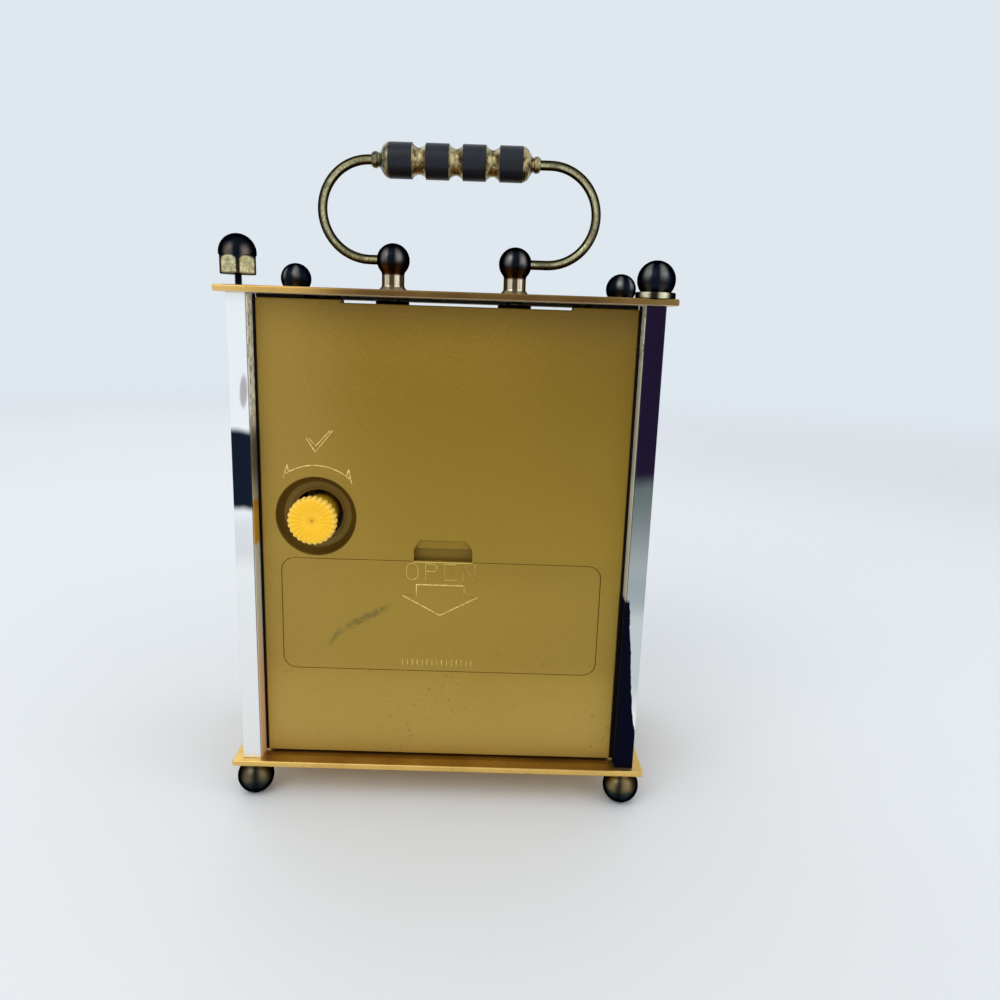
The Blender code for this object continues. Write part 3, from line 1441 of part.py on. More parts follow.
def make_mount_screws():
    for name, x, z in mount_screw_places():
        under_head = MOUNT_BACK + FIT
        profile = [
            (0, 0),
            (MOUNT_SCREW_RADIUS, 0),
            (MOUNT_SCREW_RADIUS, -MOUNT_SCREW_LENGTH),
            (MOUNT_SCREW_HEAD_RADIUS, -MOUNT_SCREW_LENGTH),
            (MOUNT_SCREW_HEAD_RADIUS, -MOUNT_SCREW_LENGTH - MOUNT_SCREW_HEAD_HEIGHT),
            (0, -MOUNT_SCREW_LENGTH - MOUNT_SCREW_HEAD_HEIGHT),
        ]
        turned(name, profile, "bright_steel", (x, under_head - MOUNT_SCREW_LENGTH, z), FACE_FRONT, sides=12)


def stator_sides():
    """The stator's left, low, right and high sides, measured from the dial's centre."""
    x, z = ROTOR_AT - DIAL_AT
    left = x - STATOR_OFFSET_X
    low = z - STATOR_LOBE / 2
    return left, low, left + STATOR_WIDTH, low + STATOR_HEIGHT


def coil_middle():
    left, _, right, high = stator_sides()
    return (left + right) / 2, high - CORE_WIDTH / 2


def make_stator():
    """A plate with the rotor's hole, and two arms that the core of the coil joins."""
    left, low, right, high = stator_sides()
    window = rectangle(left + STATOR_ARM, low + STATOR_LOBE, right - STATOR_ARM, high - CORE_WIDTH)
    bore = circle(MAGNET_RADIUS + STATOR_HOLE_GAP, ROTOR_AT - DIAL_AT)
    outlines = [rectangle(left, low, right, high), window, bore]
    flat("stator", outlines, STATOR_THICKNESS, "bright_steel", at(DIAL_AT, level(6)))


def make_coil():
    """The winding between its flanges, round the stator's core."""
    middle = DIAL_AT + Vector(coil_middle())
    half = COIL_LENGTH / 2
    half_core = CORE_WIDTH / 2 + SEAT
    bore = math.hypot(half_core, STATOR_THICKNESS / 2 + SEAT)
    profile = [
        (bore, half),
        (COIL_FLANGE_RADIUS, half),
        (COIL_FLANGE_RADIUS, half - COIL_FLANGE),
        (COIL_RADIUS, half - COIL_FLANGE),
        (COIL_RADIUS, COIL_FLANGE - half),
        (COIL_FLANGE_RADIUS, COIL_FLANGE - half),
        (COIL_FLANGE_RADIUS, -half),
        (bore, -half),
    ]
    turned("coil", profile, "copper_winding", at(middle, level(6)), ALONG_X, closed=True, sides=16)


def make_board():
    """The circuit board, with the quartz crystal soldered to its front."""
    low = DIAL_Z - BOARD_BELOW
    middle = level(7)
    board = block(
        "circuit_board",
        (BOARD_LEFT, middle - BOARD_THICKNESS / 2, low),
        (BOARD_LEFT + BOARD_WIDTH, middle + BOARD_THICKNESS / 2, low + BOARD_HEIGHT),
        "board_green",
    )
    crystal = round_bar(
        "quartz_crystal",
        CRYSTAL_RADIUS,
        CRYSTAL_LENGTH,
        "bright_steel",
        (
            BOARD_LEFT + BOARD_WIDTH / 2,
            middle - BOARD_THICKNESS / 2 - CRYSTAL_RADIUS * 3 / 4,
            low + BOARD_HEIGHT / 4,
        ),
        ALONG_X,
        sides=12,
    )
    join(board, crystal)


# Dial side


def make_glass_and_dial():
    glass_low = CAVITY_LOW + SEAT
    glass_high = CAVITY_HIGH - SEAT
    half = STACK_X - SEAT
    block("glass", (-half, GLASS_FRONT, glass_low), (half, GLASS_BACK, glass_high), "clear_glass")
    outer = rectangle(-half, glass_low - DIAL_Z, half, glass_high - DIAL_Z)
    flat(
        "dial_surround",
        [outer, circle(DIAL_OPENING_RADIUS, sides=48)],
        SHEET_THICKNESS,
        "dial_gilt",
        at(DIAL_AT, (SURROUND_FRONT + SURROUND_BACK) / 2),
    )
    flat(
        "dial",
        [outer, circle(BUSH_RADIUS + FIT)],
        SHEET_THICKNESS,
        "dial_white",
        at(DIAL_AT, (DIAL_FRONT + DIAL_BACK) / 2),
    )
    flat(
        "bush_nut",
        [hexagon(BUSH_NUT_FLATS), circle(BUSH_RADIUS + FIT)],
        BUSH_NUT_HEIGHT,
        "gear_brass",
        at(DIAL_AT, (BUSH_NUT_FRONT + SURROUND_BACK) / 2),
    )


def hand_outline(length, width, bore, turn):
    """A spade hand: hub, shank, leaf and point, turned clockwise from twelve by turn."""
    half = width / 2
    side = (
        (0.10, 0.24),
        (0.50, 0.20),
        (0.58, 0.55),
        (0.68, 1.00),
        (0.78, 0.60),
        (0.86, 0.24),
    )
    hub = HAND_HUB_RADIUS
    shank = half * side[0][1]
    hub_angle = math.asin(shank / hub)
    points = []
    steps = 12
    for step in range(steps + 1):
        angle = math.pi / 2 + hub_angle + (2 * math.pi - 2 * hub_angle) * step / steps
        points.append((hub * math.cos(angle), hub * math.sin(angle)))
    right_side = [(half * across, length * along) for along, across in side[1:]]
    points += right_side + [(0, length)] + [(-x, z) for x, z in reversed(right_side)]
    turning = Matrix.Rotation(-turn, 2)
    turned_points = [turning @ Vector(point) for point in points]
    return [[tuple(point) for point in turned_points], circle(bore, sides=HOLE_SIDES)]


def make_hands():
    minute_turn = 2 * math.pi * SHOWN_MINUTES / 60
    hour_turn = 2 * math.pi * (SHOWN_HOURS + SHOWN_MINUTES / 60) / 12
    flat(
        "hour_hand",
        hand_outline(HOUR_HAND_LENGTH, HOUR_HAND_WIDTH, PIPE_RADIUS + FIT, hour_turn),
        HAND_THICKNESS,
        "black_steel",
        at(DIAL_AT, HOUR_HAND_Y),
    )
    flat(
        "minute_hand",
        hand_outline(MINUTE_HAND_LENGTH, MINUTE_HAND_WIDTH, CENTRE_ARBOR_RADIUS + FIT, minute_turn),
        HAND_THICKNESS,
        "black_steel",
        at(DIAL_AT, MINUTE_HAND_Y),
    )
    flat(
        "centre_nut",
        [circle(CENTRE_NUT_RADIUS), circle(CENTRE_ARBOR_RADIUS + FIT, sides=ARBOR_SIDES)],
        CENTRE_NUT_HEIGHT,
        "gear_brass",
        at(DIAL_AT, NUT_FRONT + CENTRE_NUT_HEIGHT / 2),
    )


# Battery


def make_battery():
    half = CELL_LENGTH / 2
    profile = [
        (0, half + CELL_NUB_LENGTH),
        (CELL_NUB_RADIUS, half + CELL_NUB_LENGTH),
        (CELL_NUB_RADIUS, half),
        (CELL_RADIUS - CELL_NUB_LENGTH / 2, half),
        (CELL_RADIUS, half - CELL_NUB_LENGTH / 2),
        (CELL_RADIUS, CELL_NUB_LENGTH / 2 - half),
        (CELL_RADIUS - CELL_NUB_LENGTH / 2, -half),
        (0, -half),
    ]
    turned("battery_cell", profile, "cell_jacket", (CELL_X, CELL_Y, CELL_Z), ALONG_X, sides=24)
    make_contacts()


def make_contacts():
    bay_left = COVER_CENTRE_X - BAY_LENGTH / 2
    start = bay_left + SEAT + SPRING_WIRE_RADIUS
    end = CELL_X - CELL_LENGTH / 2 - SEAT - SPRING_WIRE_RADIUS
    steps_a_turn = 9
    steps = SPRING_TURNS * steps_a_turn
    route = []
    for step in range(steps + 1):
        share = step / steps
        angle = 2 * math.pi * step / steps_a_turn
        radius = SPRING_BASE_RADIUS + (SPRING_TIP_RADIUS - SPRING_BASE_RADIUS) * share
        x = start + (end - start) * share
        route.append((x, CELL_Y + radius * math.cos(angle), CELL_Z + radius * math.sin(angle)))
    wire("negative_spring", route, SPRING_WIRE_RADIUS, "bright_steel", roundness=1)
    plate_back = bay_left + BAY_LENGTH - SEAT
    block(
        "positive_contact",
        (plate_back - CONTACT_THICKNESS, CELL_Y - CONTACT_WIDTH / 2, CELL_Z - CONTACT_HEIGHT / 2),
        (plate_back, CELL_Y + CONTACT_WIDTH / 2, CELL_Z + CONTACT_HEIGHT / 2),
        "bright_steel",
    )


def smooth_route(points, steps):
    """Points on a smooth curve through the given ones."""
    spots = [Vector(point) for point in points]
    spots = [2 * spots[0] - spots[1]] + spots + [2 * spots[-1] - spots[-2]]
    route = []
    for before, start, end, after in zip(spots, spots[1:], spots[2:], spots[3:]):
        for step in range(steps):
            t = step / steps
            route.append(
                0.5
                * (
                    2 * start
                    + (end - before) * t
                    + (2 * before - 5 * start + 4 * end - after) * t**2
                    + (3 * start - before - 3 * end + after) * t**3
                )
            )
    return route + [spots[-2]]


def make_leads():
    """Two leads from the bay, through its front wall, up to the lower edge of the circuit board."""
    board_edge = DIAL_Z - BOARD_BELOW - SEAT
    board_y = level(7)
    behind_wall = BAY_FRONT - BAY_WALL
    pull_in = BOARD_WIDTH / 6
    ends = (BOARD_LEFT + pull_in, BOARD_LEFT + BOARD_WIDTH - pull_in)
    for (name, x), end_x, finish in zip(lead_places(), ends, ("lead_black", "lead_red")):
        points = [
            (x, BAY_FRONT + SEAT, LEAD_Z),
            (x, behind_wall - LEAD_RADIUS, LEAD_Z),
            (x + (end_x - x) / 12, board_y, LEAD_Z + LEAD_RADIUS),
            (x + (end_x - x) * 2 / 3, board_y, LEAD_Z + 2 * LEAD_RADIUS),
            (end_x, board_y, (LEAD_Z + board_edge) / 2),
            (end_x, board_y, board_edge),
        ]
        wire(name, smooth_route(points, 4), LEAD_RADIUS, finish, roundness=1)


make_frame()
make_handle()
make_case_front()
make_case_rear()
make_battery_tray()
make_battery_cover()
make_case_screws()
make_glass_and_dial()
make_hands()
make_mounting_plate()
make_rear_plate()
make_mount_screws()
make_going_train()
make_motion_work()
make_knob()
make_stator()
make_coil()
make_board()
make_battery()
make_leads()
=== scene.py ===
"""The looks of the desk clock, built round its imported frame.

Metres, +Z up. The dial faces -Y and the battery cover faces +Y.
Someone behind the clock sees +X on their left.
"""

import math

import bmesh
import bpy
from mathutils import Matrix, Vector


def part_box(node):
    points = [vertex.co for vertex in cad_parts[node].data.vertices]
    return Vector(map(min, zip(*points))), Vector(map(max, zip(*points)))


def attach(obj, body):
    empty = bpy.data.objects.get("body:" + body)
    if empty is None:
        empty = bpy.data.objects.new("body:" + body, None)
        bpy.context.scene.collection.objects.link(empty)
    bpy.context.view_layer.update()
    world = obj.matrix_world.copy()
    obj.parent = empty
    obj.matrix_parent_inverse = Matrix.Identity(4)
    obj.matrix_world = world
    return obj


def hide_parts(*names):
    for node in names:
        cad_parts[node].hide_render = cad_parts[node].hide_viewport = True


bl_info = {
    "name": "Desk clock",
    "version": (1, 0, 0),
    "blender": (4, 5, 0),
    "location": "View3D > Sidebar > Desk clock",
    "description": "Builds the plates, columns, handle, case, knob and dial of a desk clock round its frame",
    "category": "Object",
}

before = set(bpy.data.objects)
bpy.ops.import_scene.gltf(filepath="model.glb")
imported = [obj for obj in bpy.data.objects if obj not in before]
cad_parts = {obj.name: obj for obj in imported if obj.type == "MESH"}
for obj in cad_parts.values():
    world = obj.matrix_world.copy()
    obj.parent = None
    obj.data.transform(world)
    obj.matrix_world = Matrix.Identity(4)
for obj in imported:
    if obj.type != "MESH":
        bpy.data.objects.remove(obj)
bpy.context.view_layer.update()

MM = 0.001
COVER_TOP = 48.12
UPRIGHT = Matrix.Identity(4)
FACE_FRONT = Matrix.Rotation(math.pi / 2, 4, "X")
CORNERS = ("front_left", "front_right", "rear_left", "rear_right")


def tone(code):
    """A colour written as six hexadecimal digits, in the linear values that Blender keeps."""
    shares = [int(code[start : start + 2], 16) / 255 for start in (0, 2, 4)]
    return tuple(s / 12.92 if s <= 0.04045 else ((s + 0.055) / 1.055) ** 2.4 for s in shares)


# Places that the frame gives


def middle_of(node):
    low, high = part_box(node)
    return (Vector(low) + Vector(high)) / 2


CASE_LOW, CASE_HIGH = (Vector(corner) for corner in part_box("case_rear"))
FRONT_LOW, FRONT_HIGH = (Vector(corner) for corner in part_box("case_front"))
BASE_LOW, BASE_HIGH = (Vector(corner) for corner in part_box("base_plate"))
TOP_LOW, TOP_HIGH = (Vector(corner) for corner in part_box("top_plate"))
CASE_BACK = CASE_HIGH.y
KNOB_AT = middle_of("set_knob")
PIVOT_Z = TOP_HIGH.z + 7.66 * MM
GRIP_AT = middle_of("handle_grip")
DIAL_Z = KNOB_AT.z
COVER_LOW = 21.52 * MM
KNOB_RADIUS = 5.45 * MM
PLATE_ROUND = 0.35 * MM
NUT_TURN = math.radians(47)
LEAN = math.radians(14)


# What a user may change


def colour_setting(name, description, code):
    return bpy.props.FloatVectorProperty(
        name=name, description=description, default=tone(code), subtype="COLOR", size=3
    )


def length_setting(name, description, length):
    return bpy.props.FloatProperty(name=name, description=description, default=length, unit="LENGTH")


def power_setting(name, description, power):
    return bpy.props.FloatProperty(name=name, description=description, default=power, unit="POWER")


def count_setting(name, description, count, least):
    return bpy.props.IntProperty(name=name, description=description, default=count, min=least)


class PlateLooks(bpy.types.PropertyGroup):
    edge: length_setting("Edge rounding", "Radius on the plates' edges", PLATE_ROUND)
    brass: colour_setting("Brass", "Colour of the clean brass", "ecc470")
    brown: colour_setting("Brown", "Colour of the browned brass", "5a4024")


class ColumnLooks(bpy.types.PropertyGroup):
    plating: colour_setting("Plating", "Colour of the mirror plating", "f7f9fa")
    # The dark bands are painted reflections in the mirror plating.
    smoke: colour_setting("Smoke", "Colour of its dark bands", "121b2c")
    bared: colour_setting("Bared metal", "Colour where the plating is gone", "d3b883")


class FinialLooks(bpy.types.PropertyGroup):
    # Patina also paints the dark rims of the balls as painted shade; on the posts the bronze paints the
    # reflection of the brass plate low on the ball.
    patina: colour_setting("Patina", "Colour of the dark balls", "141922")
    bronze: colour_setting("Bronze", "Colour under the patina", "6e523a")


class HandleLooks(bpy.types.PropertyGroup):
    wire: colour_setting("Wire", "Colour of the antique wire", "7d7550")
    gilt: colour_setting("Gilt", "Colour of the grip between its bands", "b9a878")
    bands: count_setting("Bands", "Number of black bands on the grip", 4, 1)
    band_length: length_setting("Band length", "Length of a band along the grip", 5.4 * MM)
    band_pitch: length_setting("Band pitch", "From one band to the next", 8.5 * MM)


class CaseLooks(bpy.types.PropertyGroup):
    edge: length_setting("Edge rounding", "Radius on the case's edges", 0.3 * MM)
    mark: length_setting("Mark radius", "Radius of the raised lines on the case", 0.16 * MM)
    gold: colour_setting("Gold paint", "Colour of the painted plastic", "a98b36")
    # Shade is painted shade: it darkens the paint high up on the case.
    shade: colour_setting("Shade", "Colour of the paint high up", "8e6f19")


class KnobLooks(bpy.types.PropertyGroup):
    flutes: count_setting("Flutes", "Number of flutes round the knob", 26, 8)
    flute: length_setting("Flute radius", "Radius of one flute", 0.62 * MM)
    yellow: colour_setting("Yellow", "Colour of the knob", "ffc928")


class DialLooks(bpy.types.PropertyGroup):
    numeral: length_setting("Numeral height", "Size of the hour numerals", 6.4 * MM)
    numeral_radius: length_setting("Numeral circle", "Radius that the numerals stand on", 21.2 * MM)
    track: length_setting("Minute track", "Radius of the minute track", 26.9 * MM)
    face: colour_setting("Face", "Colour of the dial", "f1ead8")
    print_colour: colour_setting("Print", "Colour of the numerals and the track", "1b1a1c")


class StageLooks(bpy.types.PropertyGroup):
    floor: colour_setting("Floor", "Colour of the floor", "ebf0f5")
    backdrop: colour_setting("Backdrop", "Colour behind the clock", "dfe7ef")
    key: power_setting("Key lamp", "Power of the key lamp", 1.65)
    fill: power_setting("Fill lamp", "Power of the fill lamp", 0.6)
    sky: bpy.props.FloatProperty(
        name="Sky", description="Strength of the light from all round", default=1.0, min=0
    )


# Materials


class Wired:
    """A number or colour in a finish. Sums of numbers add their Math nodes."""

    def __init__(self, finish, socket):
        self.finish = finish
        self.socket = socket

    def worked(self, operation, first, second=0.0):
        return self.finish.node("ShaderNodeMath", {"operation": operation}, {0: first, 1: second})

    def __add__(self, other):
        return self.worked("ADD", self, other)

    def __radd__(self, other):
        return self.worked("ADD", other, self)

    def __sub__(self, other):
        return self.worked("SUBTRACT", self, other)

    def __rsub__(self, other):
        return self.worked("SUBTRACT", other, self)

    def __mul__(self, other):
        return self.worked("MULTIPLY", self, other)

    def __rmul__(self, other):
        return self.worked("MULTIPLY", other, self)

    def __truediv__(self, other):
        return self.worked("DIVIDE", self, other)

    def __rtruediv__(self, other):
        return self.worked("DIVIDE", other, self)

    def __abs__(self):
        return self.worked("ABSOLUTE", self)

    def between(self, low, high):
        """0 at low and 1 at high, with soft ends. High may be the smaller one."""
        return self.finish.node(
            "ShaderNodeMapRange",
            {"interpolation_type": "SMOOTHSTEP"},
            {"Value": self, "From Min": low, "From Max": high},
        )

    def hump(self, centre, half, soft):
        """1 within half of the centre, falling to 0 over the soft width."""
        return abs(self - centre).between(half + soft, half)

    def larger(self, other):
        return self.worked("MAXIMUM", self, other)

    def root(self):
        return self.worked("SQRT", self)


class Finish:
    """A material made of nodes round one Principled shader."""

    def __init__(self, name, **settings):
        self.material = bpy.data.materials.new(name)
        self.material.use_nodes = True
        self.tree = self.material.node_tree
        self.tree.nodes.clear()
        self.shader = self.tree.nodes.new("ShaderNodeBsdfPrincipled")
        self.output = self.tree.nodes.new("ShaderNodeOutputMaterial")
        self.tree.links.new(self.shader.outputs["BSDF"], self.output.inputs["Surface"])
        self.place = self.node("ShaderNodeTexCoord", output="Object")
        self.x, self.y, self.z = (
            self.node("ShaderNodeSeparateXYZ", (), {0: self.place}, output) for output in range(3)
        )
        self.set(**settings)

    def node(self, kind, settings=(), inputs=(), output=0):
        made = self.tree.nodes.new(kind)
        for name, value in dict(settings).items():
            setattr(made, name, value)
        for name, value in dict(inputs).items():
            self.feed(made.inputs[name], value)
        return Wired(self, made.outputs[output])

    def feed(self, socket, value):
        if isinstance(value, Wired):
            self.tree.links.new(value.socket, socket)
        elif socket.type == "RGBA" and len(value) == 3:
            socket.default_value = (*value, 1)
        else:
            socket.default_value = value

    def set(self, **settings):
        """Shader sockets by their names, with _ for a space."""
        for name, value in settings.items():
            self.feed(self.shader.inputs[name.replace("_", " ")], value)

    def patches(self, size, detail=3.0, roughness=0.55, stretch=(1, 1, 1), seed=0.0):
        """Soft patches about size across, from 0 to 1."""
        spread = self.node("ShaderNodeVectorMath", {"operation": "MULTIPLY"}, {0: self.place, 1: stretch})
        return self.node(
            "ShaderNodeTexNoise",
            {"noise_dimensions": "4D"},
            {"Vector": spread, "W": seed, "Scale": 1 / size, "Detail": detail, "Roughness": roughness},
        )

    def spots(self, size, seed_shift=(0, 0, 0)):
        """Distance to the nearest of many scattered points, in spot sizes."""
        moved = self.node("ShaderNodeVectorMath", {"operation": "ADD"}, {0: self.place, 1: seed_shift})
        return self.node("ShaderNodeTexVoronoi", (), {"Vector": moved, "Scale": 1 / size})

    def gleams(self, across, along, lean=0.0, soft=0.26):
        """A mask of two upright painted highlight streaks on the front and the back of a turned piece, whose
        axis is at 0, 0.
        """
        reach = (across * across + along * along + 0.0001 * MM * MM).root()
        aside = across * math.cos(lean) + along * math.sin(lean)
        return (abs(aside) / reach).hump(0.44, 0.04, soft)

    def rim(self, start=0.35, end=0.75):
        """0 where the surface faces the eye and 1 where it turns away."""
        return self.node("ShaderNodeLayerWeight", (), {"Blend": 0.5}, 1).between(start, end)

    def tint(self, share, first, second):
        """The first colour where share is 0, the second where it is 1. Six digits stand for a colour, too."""
        first, second = (tone(colour) if isinstance(colour, str) else colour for colour in (first, second))
        return self.node("ShaderNodeMix", {"data_type": "RGBA"}, {0: share, 6: first, 7: second}, 2)

    def relief(self, height, depth, strength=1.0):
        self.set(
            Normal=self.node(
                "ShaderNodeBump", (), {"Height": height, "Distance": depth, "Strength": strength}
            )
        )


def plate_finish(name, looks, browned):
    """Lacquered brass. The browned plate turns from amber at its ends to brown in the middle, with its
    underside painted pale as a painted reflection and a painted highlight along its top edge. The other
    plate's top face carries painted shade from the case between the columns, deepest next to the case and
    uneven in clouds.
    """
    finish = Finish(name, Metallic=1.0)
    grain = finish.patches(0.9 * MM, 4, 0.65)
    cloud = finish.patches(9 * MM, 3, seed=2.0)
    streak = finish.patches(1.2 * MM, 2, stretch=(0.06, 1, 1), seed=4.0)
    colour = finish.tint(cloud.between(0.35, 0.7) * 0.35, looks.brass, "c99c48")
    if browned:
        share = finish.x.between(37 * MM, 15 * MM) * (0.85 + 0.15 * finish.x.between(-44 * MM, -20 * MM))
        share = share * (0.75 + 0.35 * cloud)
        colour = finish.tint(0.35, colour, "b9833a")
        colour = finish.tint(abs(finish.x).between(38 * MM, 47 * MM) * 0.6, colour, "f0cd86")
        colour = finish.tint(share, colour, looks.brown)
        # Painted reflection: the top plate's underside is painted pale.
        colour = finish.tint(finish.z.between(TOP_LOW.z + 0.2 * MM, TOP_LOW.z + 0.05 * MM), colour, "efe2c6")
        # Painted highlight along the top edge of the top plate.
        top_edge_highlight = finish.z.between(TOP_HIGH.z - 0.35 * MM, TOP_HIGH.z - 0.1 * MM)
        colour = finish.tint(top_edge_highlight * 0.2, colour, "c79a52")
    else:
        # Painted shade from the case on the base plate's top face between the columns, deepest next to the
        # case.
        behind = abs(finish.y).between(CASE_BACK + 2.4 * MM, CASE_BACK + 1.6 * MM)
        middle = abs(finish.x).between(CASE_HIGH.x + 1.5 * MM, CASE_HIGH.x - 1.5 * MM)
        top = finish.z.between(BASE_HIGH.z - 0.2 * MM, BASE_HIGH.z - 0.03 * MM) * middle
        colour = finish.tint(top * (0.35 + 0.4 * cloud + 0.25 * behind), colour, "6e4a16")
    finish.set(
        Base_Color=finish.tint(grain.between(0.56, 0.72) * 0.35, colour, "6b4a20"),
        Roughness=0.26 + 0.22 * grain + 0.1 * cloud,
    )
    finish.relief(streak + grain * 0.4, 0.03 * MM, 0.35)
    return finish.material


def column_finish(corner, looks):
    """Mirror plating with painted reflections: dark bands and grey shading along its height, and an amber
    painted reflection of the knob on one column's inner side. Its inner side is worn, and one column is
    flaked black at its foot.
    """
    finish = Finish(f"plating_{corner}")
    side = 1 if corner.endswith("right") else -1
    centre = middle_of(f"{corner}_column")
    height = (finish.z - BASE_HIGH.z) / (TOP_LOW.z - BASE_HIGH.z)
    across = (finish.x - centre.x) * side
    inward = across.between(-1.95 * MM, -2.15 * MM)
    seam = across.hump(-1.97 * MM, 0.05 * MM, 0.1 * MM)
    wobble = finish.patches(7 * MM, 2, stretch=(1, 1, 0.25)) - 0.5
    fine = finish.patches(0.5 * MM, 4, 0.7)
    wrinkle = finish.patches(0.8 * MM, 5, 0.7, stretch=(1, 1, 0.5), seed=7.0)
    up = height + wobble * 0.03
    foil = finish.tint(wrinkle.between(0.4, 0.62), "fffbe8", "b9b398")
    foil = finish.tint(wrinkle.between(0.57, 0.64), foil, "3a3424")
    black = height.between(-2.0, -3.0)
    if corner == "rear_right":
        # Painted reflections on this face: the dark band here, and grey shading lower down.
        band = up.hump(0.645, 0.072, 0.018)
        smudge_across = abs(finish.x - centre.x + 0.9 * MM) / (0.9 * MM)
        smudge_up = abs(height - 0.80 + (finish.x - centre.x) * 8) / 0.035
        smudge = (smudge_across * smudge_across + smudge_up * smudge_up).between(1.3, 0.3)
        face = finish.tint(up.between(0.58, 0.35) * 0.35, looks.plating, "d3d4cd")
        face = finish.tint(up.hump(0.50, 0.02, 0.06) * 0.35, face, "a9b2b6")
        face = finish.tint(band, face, looks.smoke)
        face = finish.tint(smudge * 0.6, face, "77646f")
        strip = finish.tint(up.between(0.78, 0.70), foil, "6e6a5a")
        strip = finish.tint(up.between(0.66, 0.56), strip, "cfcab4")
        # Painted reflection of the yellow knob: an amber patch on the inner side.
        strip = finish.tint(up.hump(0.535, 0.042, 0.012), strip, "c9972c")
        strip = finish.tint(up.between(0.40, 0.15), strip, "e3b98a")
    elif corner == "rear_left":
        # Painted reflections on this face: dark grey-green high up, lighter lower down, and a speckled dark
        # band at the top.
        band = up.between(0.625, 0.665)
        face = finish.tint(up.between(0.66, 0.30), "5d6867", "c9d0d0")
        face = finish.tint(up.hump(0.41, 0.015, 0.05) * 0.5, face, "87939c")
        face = finish.tint(up.between(0.22, 0.1), face, looks.plating)
        speckled_reflection = finish.tint(fine.between(0.56, 0.72) * 0.5, "20152f", "4a3f58")
        face = finish.tint(band, face, speckled_reflection)
        strip = finish.tint(up.between(0.93, 0.84), foil, "d9d5c0")
        strip = finish.tint(up.between(0.72, 0.55) * 0.6, strip, "b9b39a")
        spread = across.between(-2.2 * MM, 2.2 * MM)
        ragged = finish.patches(2.4 * MM, 6, 0.75, stretch=(1, 1, 0.6), seed=11.0) - 0.5
        edge = 0.12 + 3.0 * (0.38 - height).larger(0) - 0.2 * height.between(0.07, 0.0)
        black = (edge + ragged * 0.34 - spread).between(-0.015, 0.015) * height.between(0.395, 0.385)
        speck = fine.between(0.655, 0.675) * (edge + 0.3 + ragged * 0.3 - spread).between(0, 0.1)
        black = black.larger(speck * height.between(0.3, 0.2)).larger(inward * up.between(0.395, 0.38))
    else:
        # Painted reflections on this face: grey shading low down and a dark band high up.
        face = finish.tint(up.between(0.5, 0.1) * 0.4, looks.plating, "cfccc0")
        band = up.hump(0.72, 0.05, 0.06) * 0.5
        face = finish.tint(band, face, looks.smoke)
        strip = finish.tint(up.between(0.7, 0.2) * 0.7, foil, looks.bared)
    colour = finish.tint(inward, face, strip)
    colour = finish.tint(seam * 0.8, colour, "3a352c")
    colour = finish.tint(black, colour, "06071c")
    scratch = fine.between(0.7, 0.74) * black
    colour = finish.tint(scratch * 0.6, colour, "8b8c92")
    finish.set(
        Base_Color=colour,
        Roughness=0.08 + 0.1 * fine + 0.25 * inward + 0.3 * black,
        Metallic=(0.5 - 0.5 * inward + 0.4 * band) * (1 - black) + 0.92 * black,
        Specular_IOR_Level=0.3,
    )
    finish.relief(wrinkle * inward + wobble * 0.5, 0.08 * MM, 0.4)
    return finish.material


def foot_finish(looks):
    """Dark green-black patina, dark brown on the upper half (more on the feet at -X), with painted highlight
    streaks, tan on the upper half and grey below, and a rim painted dark as painted shade.
    """
    finish = Finish("foot_bronze", Metallic=1.0, Specular_Tint=looks.bronze)
    across = abs(finish.x) - abs(middle_of("rear_left_column").x)
    along = abs(finish.y) - middle_of("rear_left_column").y
    cloud = finish.patches(2.4 * MM, 3, seed=3.0)
    grain = finish.patches(0.35 * MM, 4, 0.7)
    height = finish.z + (cloud - 0.5) * 1.6 * MM
    worn = height.between(3.4 * MM, 5.0 * MM)
    # Painted highlights: two upright streaks, grey low down and tan on the upper half.
    streak_highlight = finish.gleams(across, along, LEAN, 0.4)
    colour = finish.tint(grain.between(0.4, 0.7) * 0.5, looks.patina, "1c2a2c")
    colour = finish.tint(streak_highlight * height.between(1.2 * MM, 3.4 * MM) * 0.45, colour, "3e4a48")
    tan = finish.tint(streak_highlight, "30281c", "87754f")
    colour = finish.tint(worn * (0.5 + 0.4 * finish.x.between(0, -20 * MM)), colour, tan)
    # Painted shade: the rim, where the surface turns away, is painted dark.
    colour = finish.tint(finish.rim(0.5, 0.8) * 0.8, colour, looks.patina)
    finish.set(Base_Color=colour, Roughness=0.26 + 0.2 * grain)
    finish.relief(grain, 0.01 * MM, 0.3)
    return finish.material


